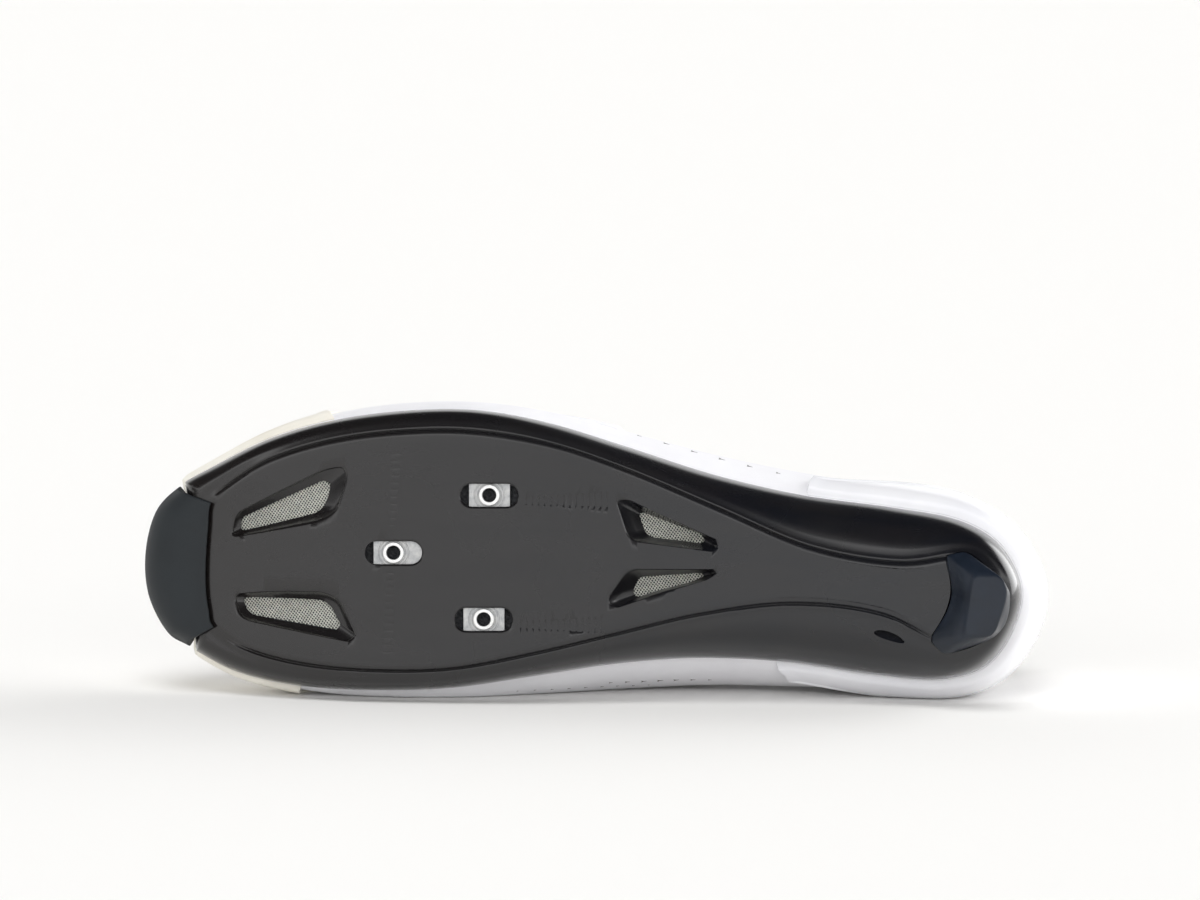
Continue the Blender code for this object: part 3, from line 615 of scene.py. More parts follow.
def carve(item, cutters):
    """Takes each cutter out of the piece and keeps the result as its mesh."""
    tools = []
    for cutter in cutters:
        cutter.transform(LAID)
        mesh = bpy.data.meshes.new("cutter")
        cutter.to_mesh(mesh)
        cutter.free()
        tools.append(bpy.data.objects.new("cutter", mesh))
        bpy.context.scene.collection.objects.link(tools[-1])
        step = item.modifiers.new("cut", "BOOLEAN")
        step.operation = "DIFFERENCE"
        step.solver = "EXACT"
        step.object = tools[-1]
    graph = bpy.context.evaluated_depsgraph_get()
    whole = bpy.data.meshes.new_from_object(item.evaluated_get(graph))
    item.modifiers.clear()
    item.data = whole
    for tool in tools:
        bpy.data.objects.remove(tool, do_unlink=True)


composite, shader = finish("glossed_composite", tint(15, 14, 14), 0.28, coat_weight=0.4,
                           coat_roughness=0.05, coat_ior=1.5, specular_ior_level=0.5)
streaks = noise(composite, places(composite, (9.0, 60.0, 42.0), (0, 28, 0)), 3.0, 5.0, 0.6)
clouds = noise(composite, places(composite), 26.0, 4.0, 0.5)
toe_share = between(composite, node(composite, "SeparateXYZ", {0: places(composite)}).outputs[0],
                    1.0, 0.0, -0.12, 0.06)
warm = blend_colours(composite, toe_share, tint(11, 13, 19), tint(20, 17, 16))
mottled = blend_colours(composite, between(composite, streaks, 0.0, 0.7, 0.35, 0.7), warm,
                        tint(23, 21, 22))
feed(composite, shader, "Base Color", mottled)
fine = noise(composite, places(composite), 900.0, 2.0)
scuffs = noise(composite, places(composite, (30.0, 400.0, 220.0), (0, 35, 0)), 1.6, 6.0, 0.7)
worn = between(composite, scuffs, 0.0, 0.14, 0.60, 0.78)
rough = plus(composite, between(composite, clouds, 0.22, 0.32, 0.3, 0.7), worn)
feed(composite, shader, "Roughness", rough)
grain = plus(composite, times(composite, streaks, 0.5), times(composite, fine, 0.12))
relief(composite, shader, grain, 0.00004, 0.4)

# Shallow recess for the heel pad, a little wider than the pad
PAD = (
    (0.886, -0.140), (0.905, -0.157), (0.913, -0.149), (0.952, -0.070), (0.960, -0.040),
    (0.961, 0.018), (0.958, 0.068), (0.948, 0.110), (0.933, 0.135), (0.900, 0.178),
    (0.891, 0.180), (0.878, 0.148), (0.878, 0.124), (0.886, 0.082), (0.893, 0.037),
    (0.896, -0.013), (0.893, -0.062), (0.887, -0.110),
)
PAD_ROUNDING = 0.003
# How far the recess reaches past the pad, and how deep
RECESS = ((0.0005, -0.0012), (0.0005, 0.0003), (-0.0001, 0.0016))
stack(openings, [[Vector((p.x, p.y, bridge_z(p.x) + z))
                  for p in rounded(in_plan(PAD, grow), PAD_ROUNDING, 3)] for grow, z in RECESS])

# A slanting dent in the medial flange near the heel: station, how far up, and their half sizes
DENT = (27.12, 0.13, 0.19, 0.050)
w, t, half_w, half_t = DENT
turns = [2 * math.pi * k / 24 for k in range(24)]
# Its rings: how wide, how deep, and how much deeper at its lower end
DENT_RINGS = ((1.0, -0.0006, 0.0), (1.0, 0.0, 0.0), (0.9, 0.0008, 0.9))
stack(openings, [[flange(w + half_w * grow * math.cos(a), t + half_t * grow * math.sin(a),
                         depth * (1.0 - lean * math.sin(a))) for a in turns]
                 for grow, depth, lean in DENT_RINGS])
closed(openings)

bm = bmesh.new()
surface(bm, SOLE_COLUMNS, SOLE_ROWS,
        lambda u, v: sole_section(round(u * SOLE_COLUMNS) % SOLE_COLUMNS
                                  * STATIONS / SOLE_COLUMNS)[round(v * SOLE_ROWS)])
closed(bm)
sole = piece(bm, "sole_plate_shell", [composite], stands_for=["sole_plate"])
carve(sole, [openings, pockets])
sole.data.set_sharp_from_angle(angle=math.radians(33))

# Toe bumper
# The real one is a block of tough matt rubber over the front of the plate. It is moulded on its
# own, bonded on, and has rounded edges with a thin gap where it meets the gloss.
toe_rubber = rubber_finish("toe_rubber", tint(33, 37, 40), 0.55, 60.0,
                           ((29, 33, 36), (37, 41, 44)), (0.54, 0.68), 2400.0, 0.00005, 0.55, 0.4)
BUMPER_STEPS = (0.0, 0.12, 0.26, 0.42, 0.58, 0.74, 0.88, 1.0)


@functools.lru_cache(maxsize=None)
def bumper_section(w):
    way = rim(w) - ridge(w)
    way = Vector((way.x, way.y, 0.0)).normalized()
    first = ridge(w) + way * 0.0004
    first.z = bridge_z(first.x) - GAP
    out = [first, first - Vector((0, 0, BUMPER * 0.4))]
    out += [flange(w, t, -(GAP + BUMPER * (0.55 + 0.45 * t))) for t in BUMPER_STEPS[:-1]]
    out.append(rim(w) + outward(w) * (GAP + BUMPER))
    out.append(rim(w) + way * GAP)
    out += [flange(w, t, -GAP) for t in reversed(BUMPER_STEPS[:-1])]
    return out


bm = bmesh.new()
around = len(bumper_section(15.0))
surface(bm, 70, around, lambda u, v: bumper_section(13.0 + 5.0 * u)[round(v * around) % around])
closed(bm)
bumper = piece(bm, "toe_bumper_rubber", [toe_rubber], stands_for=["toe_bumper"])
rounded_edges(bumper, 0.0010, 4, 38)

# Heel pad
# The real one is a replaceable rubber foot with a raised trapezoid face. It is moulded in one
# and pushed into a recess of the plate, which leaves a dark gap round it.
FACE = (
    (0.917, -0.078), (0.922, -0.087), (0.944, -0.092), (0.950, -0.080), (0.956, -0.046),
    (0.955, -0.010), (0.951, 0.040), (0.948, 0.084), (0.943, 0.108), (0.922, 0.120),
    (0.915, 0.120), (0.913, 0.108), (0.913, 0.085), (0.914, 0.055), (0.9145, 0.030),
    (0.915, -0.002), (0.9155, -0.030), (0.916, -0.055),
)
pad_rubber = rubber_finish("heel_rubber", tint(16, 20, 26), 0.36, 90.0,
                           ((12, 18, 27), (24, 32, 44)), (0.34, 0.46), 2200.0, 0.00004, 0.5, 0.5)
pad_line = rounded(in_plan(PAD), PAD_ROUNDING, 3)
face_line = rounded(in_plan(FACE), PAD_ROUNDING, 3)
# From the pad's edge to its face: share of the way, and drop at the slope that follows
PAD_STEPS = ((0.0, -0.0010), (0.0, 0.0004), (0.02, 0.0008), (0.06, 0.0011), (0.20, 0.0020),
             (0.40, 0.0035), (0.60, 0.0050), (0.76, 0.0060), (0.88, 0.0066), (0.96, 0.0070))
PAD_DROP = 0.0073
FACE_MIDDLE = 0.92
FACE_CENTRE = 0.934
rings = []
for share, rise in PAD_STEPS:
    rings.append([])
    for p, q in zip(pad_line, face_line):
        spot = p.lerp(q, share)
        level = max(bridge_z(p.x) - rise * bridge_z(along(FACE_MIDDLE)) / PAD_DROP, 0.00003)
        rings[-1].append(Vector((spot.x, spot.y, level)))
for inset, level in ((0.05, 0.00006), (0.12, 0.0)):
    rings.append([Vector((p.x + (along(FACE_CENTRE) - p.x) * inset, p.y * (1.0 - inset), level))
                  for p in face_line])
bm = bmesh.new()
stack(bm, rings)
closed(bm)
piece(bm, "heel_pad_rubber", [pad_rubber], stands_for=["heel_pad"], sharp=75)

# Vent screens
# The real ones are small pieces of woven wire cloth, grey with a warm cast. They are cut to the
# window and bonded in from the inside, so the weave fills the window at an angle.
WIRE = 0.00014
WIRE_PITCH = 0.00076
WEAVE_TURNS = (math.radians(38), math.radians(38 + 78))
WIRE_TUCK = 0.0012
wire_finish, shader = finish("woven_wire", tint(206, 206, 198), 0.42, metallic=0.35)
tone = noise(wire_finish, places(wire_finish), 700.0, 3.0)
two_tones(wire_finish, shader, tone, (206, 207, 200), (240, 240, 232))
feed(wire_finish, shader, "Roughness", between(wire_finish, tone, 0.3, 0.5))


def crossing(line, start, way):
    """Where a straight line enters and leaves an outline, as distances from its start."""
    hits = []
    for a, b in zip(line, line[1:] + line[:1]):
        side = b - a
        down = way.x * side.y - way.y * side.x
        if abs(down) < 1e-12:
            continue
        off = a - start
        reach = (off.x * side.y - off.y * side.x) / down
        share = (off.x * way.y - off.y * way.x) / down
        if 0.0 <= share < 1.0:
            hits.append(reach)
    return (min(hits), max(hits)) if len(hits) > 1 else None


for tag, mouth, window in VENTS:
    edge = in_plan(window, WIRE_TUCK)
    inner = in_plan(window)
    middle = sum(edge, Vector((0.0, 0.0))) / len(edge)
    bm = bmesh.new()
    for phase, angle in enumerate(WEAVE_TURNS):
        way = Vector((math.cos(angle), math.sin(angle)))
        side = Vector((-way.y, way.x))
        for k in range(-40, 41):
            start = middle + side * (k * WIRE_PITCH)
            hit = crossing(edge, start, way)
            if hit is None or hit[1] - hit[0] < 2 * WIRE_PITCH:
                continue
            steps = max(2, round((hit[1] - hit[0]) / WIRE_PITCH))

            def on_wire(u, v, start=start, way=way, side=side, hit=hit, steps=steps, k=k,
                        phase=phase):
                p = start + way * (hit[0] + (hit[1] - hit[0]) * v)
                weave = 1.0 if (round(v * steps) + k + phase) % 2 else -1.0
                z = window_z(inner, p.x) + GAP + 0.0005 + weave * WIRE * 0.75
                turn = 2 * math.pi * u
                return Vector((p.x + side.x * WIRE * math.cos(turn),
                               p.y + side.y * WIRE * math.cos(turn), z + WIRE * math.sin(turn)))

            surface(bm, 4, steps, on_wire)
    closed(bm, 0.000002)
    piece(bm, "vent_screen_" + tag, [wire_finish], stands_for=["vent_mesh_" + tag], sharp=80)

# Cleat nuts
# The real ones are turned and stamped from bright steel: a plate that slides in its pocket and
# a threaded barrel that comes down through the slot. Each can be moved along its slot.
BARREL = 0.0064
BORE = 0.0042
NUT_COLUMNS = 96
NUT_ROUNDING = 0.00012
PLATE_ROUNDING = 0.0002
THREAD_RIDGES = 7
THREAD_MARGIN = 0.0004
THREAD_ROOT = 0.00012
THREAD_TIP = 0.00004
GROOVE = 0.0005
# Turned grooves of the plate round the barrel: how far out, and share of the depth
GROOVES = ((0.0, 1.0), (0.0004, 1.0), (0.0005, 0.0), (0.0011, 0.0), (0.0012, 0.5), (0.0015, 0.5),
           (0.0016, 0.0))
for tag, s, across, size, shift in SLOTS:
    x, y = along(s), across * BALL_WIDTH
    steel, shader = finish("turned_steel_" + tag, tint(190, 190, 188), 0.32, metallic=1.0)
    centre = LAID @ Vector((x, y, 0.0))
    axis = (LAID.to_3x3() @ Vector((0, 0, 1))).normalized()
    upright = axis.rotation_difference(Vector((0, 0, 1))).to_euler()
    source = node(steel, "TexCoord", {}).outputs["Object"]
    shifted = node(steel, "VectorMath", {0: source, 1: tuple(-c for c in centre)}).outputs[0]
    flat = node(steel, "Mapping", {"Vector": shifted, "Rotation": tuple(upright)}).outputs[0]
    turns = node(steel, "TexWave", {"Vector": flat, "Scale": 420.0, "Distortion": 0.2},
                 wave_type="RINGS", rings_direction="Z").outputs["Fac"]
    smear = noise(steel, source, 500.0, 4.0)
    # The end face of the barrel is painted near white, a painted highlight of the turned face; the
    # plate keeps the steel's grey tone.
    painted_highlight_row = node(steel, "SeparateXYZ", {0: node(steel, "TexCoord", {}).outputs["UV"]}).outputs[1]
    plate_tone = blend_colours(steel, between(steel, smear, 0.0, 1.0, 0.3, 0.7),
                               tint(168, 170, 172), tint(214, 214, 213))
    feed(steel, shader, "Base Color",
         blend_colours(steel, between(steel, painted_highlight_row, 1.0, 0.0, 0.075, 0.10), plate_tone,
                       tint(252, 252, 251)))
    uneven_gloss(steel, shader, smear, 0.28, 0.42)
    relief(steel, shader, turns, 0.00003, 0.3)
    low, shoulder = GAP, LIP + GAP
    high = shoulder + size[2]

    def plate_reach(turn):
        reach = 1.0 / max(abs(math.cos(turn)) / (size[0] / 2), abs(math.sin(turn)) / (size[1] / 2))
        return min(reach, 0.92 * math.hypot(size[0], size[1]) / 2)

    # Radius and height round the section; None stands for the outline of the plate
    threads = []
    tapped = high - low - 2 * THREAD_MARGIN
    for k in range(THREAD_RIDGES):
        z = low + THREAD_MARGIN + tapped * k / (THREAD_RIDGES - 1)
        threads += [(BORE / 2 + THREAD_ROOT, z),
                    (BORE / 2 - THREAD_TIP, z + tapped / (THREAD_RIDGES - 1) / 2)]
    section = [(BORE / 2 + NUT_ROUNDING, low), (BARREL / 2 - NUT_ROUNDING, low),
               (BARREL / 2, low + NUT_ROUNDING)]
    section += [(BARREL / 2 + out, shoulder + GROOVE * deep) for out, deep in GROOVES]
    section += [(None, shoulder), (None, shoulder + PLATE_ROUNDING), (None, high - PLATE_ROUNDING),
                (None, high), (BORE / 2 + PLATE_ROUNDING, high)]
    section += list(reversed(threads[:-1]))

    def on_nut(u, v):
        radius, z = section[round(v * len(section)) % len(section)]
        turn = 2 * math.pi * (round(u * NUT_COLUMNS) % NUT_COLUMNS + 0.5) / NUT_COLUMNS
        moved = 0.0
        if radius is None:
            moved = shift
            radius = plate_reach(turn) - (0.00015 if z in (shoulder, high) else 0.0)
        return turned(x, y, moved + radius * math.cos(turn),
                      radius * math.sin(turn)).to_3d() + Vector((0, 0, z))

    bm = bmesh.new()
    surface(bm, NUT_COLUMNS, len(section), on_nut)
    closed(bm, 0.000002)
    piece(bm, "cleat_nut_steel_" + tag, [steel], body="nut_" + tag,
          stands_for=["cleat_nut_" + tag], sharp=30)

# Insole
# The real one is a foam sheet with a dark knit face, cut to the bed of the sole and laid in
# loose. Its rim is thinned so that it lies close to the wall.
INSOLE = 0.0026
knit, shader = finish("insole_knit", tint(62, 63, 66), 0.9, sheen_weight=0.3)
where = places(knit)
loops = node(knit, "TexWave", {"Vector": where, "Scale": 420.0, "Distortion": 2.0},
             bands_direction="DIAGONAL").outputs["Fac"]
flecks = noise(knit, where, 1400.0, 3.0)
two_tones(knit, shader, flecks, (44, 45, 48), (80, 81, 84), 0.35, 0.65)
relief(knit, shader, plus(knit, loops, flecks), 0.0002, 0.6)
INSOLE_ROWS = ((0.0, 0.0, 0), (0.3, 0.0, 0), (0.6, 0.0, 0), (0.85, 0.0, 0), (1.0, 0.0012, 0),
               (1.0, 0.0013, 0.35), (1.0, 0.0020, 0.8), (1.0, 0.0034, 1.0), (0.85, 0.0, 1),
               (0.6, 0.0, 1), (0.3, 0.0, 1), (0.0, 0.0, 1))


@functools.lru_cache(maxsize=None)
def on_insole(u, v):
    share, inset, level = INSOLE_ROWS[round(v * (len(INSOLE_ROWS) - 1))]
    return bed_point(round(u * 180) % 180 / 6, share, inset) + Vector((0, 0, GAP + INSOLE * level))


bm = bmesh.new()
surface(bm, 180, len(INSOLE_ROWS) - 1, on_insole)
closed(bm)
piece(bm, "insole_sheet", [knit], stands_for=["insole"], sharp=60)

# Upper
# The real one is a thin hollow shell of white coated microfibre with a soft dark lining and a
# padded collar. It is cut flat, stitched, pulled over a last and bonded into the plate's cup.
SHOE_HEIGHT = 0.096
WALL = 0.0019
PADDING = 0.0022
SEAM = 0.0004
COVER_GAP = 0.0005
GUARD = 0.0009
CUP = 0.0011
REST_TURN = 0.0005
FLARE = (
    (0, 0.123, 0.13), (2, 0.132, 0.13), (4, 0.100, 0.13), (5, 0.115, 0.13), (6, 0.110, 0.14),
    (8, 0.098, 0.14), (10, 0.100, 0.15), (12, 0.060, 0.20), (15, 0.000, 0.24),
    (18, 0.020, 0.15), (20, 0.060, 0.08), (22, 0.085, 0.07), (24, 0.112, 0.09),
    (26, 0.090, 0.09), (28, 0.110, 0.09),
)
# Station, along, across, height, then the handle of the wall: along, across and down
OPENING = (
    (0, 0.973, 0.000, 0.98, 0.094, 0.000, 0.20),
    (1.5, 0.945, -0.150, 0.955, 0.060, -0.080, 0.19),
    (3, 0.860, -0.255, 0.82, 0.020, -0.115, 0.17),
    (4, 0.770, -0.285, 0.735, 0.000, -0.100, 0.16),
    (5, 0.660, -0.255, 0.80, 0.000, -0.140, 0.19),
    (6, 0.585, -0.190, 0.965, 0.000, -0.210, 0.24),
    (7, 0.535, -0.155, 0.950, 0.000, -0.250, 0.23),
    (8, 0.485, -0.135, 0.885, -0.010, -0.280, 0.20),
    (9, 0.440, -0.120, 0.820, -0.030, -0.320, 0.16),
    (10, 0.400, -0.105, 0.760, -0.060, -0.330, 0.12),
    (11, 0.365, -0.092, 0.710, -0.140, -0.300, 0.09),
    (12, 0.340, -0.078, 0.680, -0.260, -0.230, 0.065),
    (13, 0.325, -0.055, 0.662, -0.320, -0.130, 0.05),
    (15, 0.314, 0.010, 0.650, -0.360, 0.030, 0.045),
    (17, 0.325, 0.065, 0.662, -0.320, 0.150, 0.05),
    (18, 0.340, 0.085, 0.680, -0.260, 0.240, 0.065),
    (19, 0.365, 0.095, 0.710, -0.140, 0.300, 0.09),
    (20, 0.400, 0.105, 0.760, -0.050, 0.320, 0.12),
    (21, 0.440, 0.120, 0.820, -0.020, 0.310, 0.16),
    (22, 0.485, 0.135, 0.885, 0.000, 0.300, 0.22),
    (23, 0.535, 0.155, 0.950, 0.000, 0.285, 0.26),
    (24, 0.585, 0.190, 0.975, 0.000, 0.250, 0.28),
    (25, 0.660, 0.245, 0.83, 0.000, 0.160, 0.24),
    (26, 0.770, 0.265, 0.770, 0.000, 0.105, 0.24),
    (27, 0.860, 0.240, 0.85, 0.020, 0.095, 0.28),
    (28.5, 0.945, 0.140, 0.960, 0.060, 0.070, 0.27),
)
# Soft creases where the foot bends: station, lean, half-width in stations, lowest and highest v,
# and depth
CREASES = (
    (9.9, 0.9, 0.16, 0.16, 0.60, 0.0007), (9.2, 0.7, 0.14, 0.20, 0.52, 0.0005),
    (20.5, -0.8, 0.15, 0.45, 0.86, 0.0007), (21.3, -0.8, 0.14, 0.50, 0.84, 0.0005),
    (12.6, 0.5, 0.22, 0.55, 0.90, 0.0006), (17.4, -0.5, 0.22, 0.55, 0.90, 0.0006),
    (4.2, 0.3, 0.20, 0.45, 0.85, 0.0005), (25.8, -0.3, 0.20, 0.62, 0.88, 0.0004),
)


def rested(p, w):
    """The wall pressed flat where it lies on the floor, with room for the cup and the guard."""
    cup = (COVER_GAP + CUP) * smooth(25.4, 26.0, w % STATIONS)
    guard = (COVER_GAP + GUARD) * (1.0 - smooth(20.0, 20.6, w % STATIONS))
    past = p.dot(DOWN) - (REST - cup - guard)
    if past <= -REST_TURN:
        return p
    if past >= REST_TURN:
        return p - DOWN * past
    return p - DOWN * ((past + REST_TURN) ** 2 / (4 * REST_TURN))


@functools.lru_cache(maxsize=None)
def wall_curve(w):
    base = rim(w % STATIONS) + Vector((0, 0, SEAM))
    out, up = ring(FLARE, w)
    s, y, z, hx, hy, down = ring(OPENING, w)
    top = Vector((along(s), y * BALL_WIDTH, z * SHOE_HEIGHT))
    low = base + (outward(w % STATIONS) * out + Vector((0, 0, up))) * BALL_WIDTH
    high = top + Vector((hx, hy, -down)) * BALL_WIDTH
    return base, low, high, top


@functools.lru_cache(maxsize=None)
def skin(w, v):
    """Outside of the upper: v = 0 on the rim, v = 1 on the edge of collar and throat."""
    base, low, high, top = wall_curve(w)
    p = (base * (1 - v) ** 3 + low * 3 * v * (1 - v) ** 2
         + high * 3 * v * v * (1 - v) + top * v ** 3)
    return rested(p, w)


@functools.lru_cache(maxsize=None)
def skin_normal(w, v):
    a = skin(w + 0.08, v) - skin(w - 0.08, v)
    b = skin(w, min(v + 0.02, 1.0)) - skin(w, max(v - 0.02, 0.0))
    return b.cross(a).normalized()


def wall(w, v):
    turn = min(w % STATIONS, STATIONS - w % STATIONS)
    padded = 1.0 - smooth(4.5, 6.0, turn)
    return WALL + PADDING * padded * smooth(0.55, 0.9, v) * (1.0 - 0.35 * smooth(0.9, 1.0, v))


def crease(w, v):
    depth = 0.0
    for station, lean, half, low, high, deep in CREASES:
        off = (w - station - lean * (v - 0.5)) / half
        if abs(off) < 3:
            depth += deep * math.exp(-off * off) * smooth(low, low + 0.1, v) * (
                1.0 - smooth(high - 0.1, high, v))
    return depth


def skin_point(w, v, off):
    return skin(w, v) + skin_normal(w, v) * off


UPPER_COLUMNS = 300
OUTSIDE = [k / 48 for k in range(47)]
INSIDE = [1.0 - k / 20 for k in range(1, 20)]


@functools.lru_cache(maxsize=None)
def upper_section(w):
    """Points of the shell from the rim up the outside, over the edge and down the lining."""
    out = [skin_point(w, v, -crease(w, v)) for v in OUTSIDE]
    thick = wall(w, 1.0)
    for v, share in ((0.985, 0.04), (0.997, 0.16), (1.0, 0.34), (1.0, 0.66), (0.997, 0.86),
                     (0.985, 0.97)):
        out.append(skin_point(w, v, -thick * share))
    for v in INSIDE:
        out.append(skin_point(w, v, -wall(w, v) - crease(w, v)))
    out.append(flange(w, 1.0, SHELL) + Vector((0, 0, SEAM)))
    return out


microfibre, shader = finish("white_microfibre", tint(236, 236, 240), 0.48, sheen_weight=0.08,
                            sheen_roughness=0.4, coat_weight=0.12, coat_roughness=0.35)
where = places(microfibre)
broad = noise(microfibre, where, 34.0, 4.0)
two_tones(microfibre, shader, broad, (240, 240, 243), (229, 228, 232), 0.3, 0.75)
pebbles = node(microfibre, "TexVoronoi", {"Vector": where, "Scale": 1500.0}).outputs["Distance"]
fibres = noise(microfibre, where, 3200.0, 3.0)
uneven_gloss(microfibre, shader, broad, 0.42, 0.56)
relief(microfibre, shader, plus(microfibre, times(microfibre, pebbles, 0.7),
                                times(microfibre, fibres, 0.3)), 0.00008, 0.45)
lining, shader = finish("collar_lining", tint(66, 67, 72), 0.88, sheen_weight=0.35,
                        sheen_roughness=0.5)
where = places(lining)
mesh_cells = node(lining, "TexVoronoi", {"Vector": where, "Scale": 900.0}).outputs["Distance"]
fuzz = noise(lining, where, 1800.0, 3.0)
two_tones(lining, shader, mesh_cells, (40, 41, 45), (82, 83, 88), 0.1, 0.6)
relief(lining, shader, plus(lining, mesh_cells, times(lining, fuzz, 0.4)), 0.00025, 0.6)

bm = bmesh.new()
around = len(upper_section(0.0))
surface(bm, UPPER_COLUMNS, around,
        lambda u, v: upper_section(round(u * UPPER_COLUMNS) % UPPER_COLUMNS * STATIONS
                                   / UPPER_COLUMNS)[round(v * around) % around])
layer = bm.loops.layers.uv.verify()
first_inside = (len(OUTSIDE) + 3) / around
for face in bm.faces:
    if min(loop[layer].uv.y for loop in face.loops) >= first_inside - 1e-6:
        face.material_index = 1
closed(bm)
upper = piece(bm, "upper_shell", [microfibre, lining], stands_for=["upper"], sharp=50)

# Perforations
# The real ones are small triangular holes punched in rows along both sides of the upper, which show
# the dark layer under the white. Each is a thin dark star sunk in the skin instead of a cut hole:
# its colour is the dark layer with painted shade for the inside of the hole.
# Rows: first and last station and height on the wall, their number and the longest arm
ROWS_OF_HOLES = (
    (6.00, 0.225, 4.38, 0.240, 6, 0.00145),
    (23.83, 0.215, 25.05, 0.310, 7, 0.00125),
    (22.70, 0.165, 24.25, 0.330, 9, 0.00075),
)
# Colour of the holes: the dark layer under the white, darkened with painted shade for the depth of
# each hole.
lining_and_hole_shade, shader = finish("punched_lining_and_hole_shade", tint(62, 50, 48), 0.8)
feed(lining_and_hole_shade, shader, "Base Color",
     blend_colours(lining_and_hole_shade, noise(lining_and_hole_shade, places(lining_and_hole_shade), 2600.0), tint(38, 30, 29),
                   tint(88, 74, 70)))
relief(lining_and_hole_shade, shader, noise(lining_and_hole_shade, places(lining_and_hole_shade), 4000.0), 0.0001, 0.5)
bm = bmesh.new()
for w0, v0, w1, v1, count, size in ROWS_OF_HOLES:
    for k in range(count):
        t = k / (count - 1)
        w, v = w0 + (w1 - w0) * t, v0 + (v1 - v0) * t
        out = skin_normal(w, v)
        ahead = (skin(w + 0.05, v) - skin(w - 0.05, v)).normalized()
        ahead = ahead if ahead.x > 0 else -ahead
        up = out.cross(ahead)
        arm = size * (0.45 + 0.55 * math.sin(math.pi * (k + 0.7) / (count + 0.4)))
        star = []
        for point in range(6):
            turn = math.pi * point / 3
            reach = arm * 0.24 if point % 2 else arm
            star.append(skin(w, v) + ahead * reach * math.cos(turn)
                        + up * reach * 0.75 * math.sin(turn))
        stack(bm, [[p + out * off for p in star] for off in (0.00006, -0.00020)])
closed(bm, 0.000002)
piece(bm, "upper_perforations", [lining_and_hole_shade])


# Toe guard
# The real one is a cream film of tough coated fabric with a raised lip, heat-bonded round the
# toe over the microfibre.
def cover(name, stations, columns, low, high, rows, gap, thick, finishes, node_name, lip=0.0):
    """Sheet over the upper from v = low to high at each station, with its own thickness."""
    def on_cover(u, v):
        first = stations[0] + (stations[2] - stations[0]) * min(v / 0.55, 1.0) ** 1.4
        last = stations[1] + (stations[3] - stations[1]) * min(v / 0.55, 1.0) ** 1.4
        w = first + (last - first) * u
        a, b = low(w), high(w)
        level = a + (b - a) * v
        edge = max(smooth(0.90, 0.97, v), smooth(0.985, 0.997, u), smooth(0.985, 0.997, 1 - u))
        free = 1.0 - smooth(REST - 0.005, REST - 0.002, skin(w, level).dot(DOWN))
        up = smooth(low(w), low(w) + 0.05, level)
        off = (gap + thick / 2) * up - (thick / 2 - 0.0002) * (1.0 - up)
        return skin_point(w, level, off + lip * edge * free * up)

    made = bmesh.new()
    surface(made, columns, rows, on_cover)
    bmesh.ops.recalc_face_normals(made, faces=made.faces)
    thickened(piece(made, name, finishes, stands_for=[node_name], sharp=60), thick, 0.42, True)


cream, shader = finish("cream_guard", tint(240, 236, 226), 0.5, coat_weight=0.1,
                       coat_roughness=0.4)
where = places(cream)
shade = noise(cream, where, 45.0, 4.0)
two_tones(cream, shader, shade, (243, 240, 231), (232, 227, 215))
weave = node(cream, "TexWave", {"Vector": where, "Scale": 900.0, "Distortion": 1.5},
             bands_direction="DIAGONAL").outputs["Fac"]
uneven_gloss(cream, shader, shade, 0.42, 0.6)
relief(cream, shader, plus(cream, times(cream, weave, 0.4), noise(cream, where, 2600.0)),
       0.00006, 0.5)
cover("toe_guard_film", (9.95, 20.05, 10.35, 19.8), 130, lambda w: 0.012,
      lambda w: 0.30 + 0.12 * math.cos((w - 15.0) * 0.25), 24, COVER_GAP, GUARD, [cream],
      "toe_guard", 0.00035)

# Heel cup
# The real one is a stiff shell of glossy white plastic, moulded and bonded round the heel. Its
# front edges have a small rolled lip.
gloss, shader = finish("glossy_white_plastic", tint(238, 238, 242), 0.16, coat_weight=0.5,
                       coat_roughness=0.04)
where = places(gloss)
haze = noise(gloss, where, 30.0, 3.0)
two_tones(gloss, shader, haze, (241, 241, 244), (231, 231, 236))
rubbed = noise(gloss, places(gloss, (1.0, 1.0, 6.0), (20, 0, 0)), 240.0, 5.0, 0.7)
feed(gloss, shader, "Roughness", between(gloss, rubbed, 0.12, 0.3, 0.45, 0.8))
relief(gloss, shader, noise(gloss, where, 160.0, 2.0), 0.00008, 0.25)
cover("heel_cup_shell", (-4.12, 3.95, -4.02, 3.97), 130, lambda w: 0.012,
      lambda w: 0.22 + 0.36 * (1.0 - smooth(1.2, 4.0, abs(w))), 30, COVER_GAP, CUP, [gloss],
      "heel_cup", 0.00035)


# Tongue
# The real one is soft foam between a white face and a lining. It is sewn in at the front of the
# throat, lies under both edges and stands out at the top with a bound edge.
TONGUE = 0.003


def span(w, margins, depth, lift, count):
    """Points from the lateral side over the throat to the medial side, off the upper's wall."""
    other = STATIONS - w
    left = [skin_point(w, v, depth(w, v)) for v in margins]
    right = [skin_point(other, v, depth(other, v)) for v in margins]
    a, b = left[-1], right[-1]
    ta = (left[-1] - left[-2]).normalized()
    tb = (right[-1] - right[-2]).normalized()
    width = (b - a).length
    middle = [hermite(a, b, ta * width * lift, tb * width * -lift, k / (count + 1))
              for k in range(1, count + 1)]
    return left + middle + list(reversed(right))


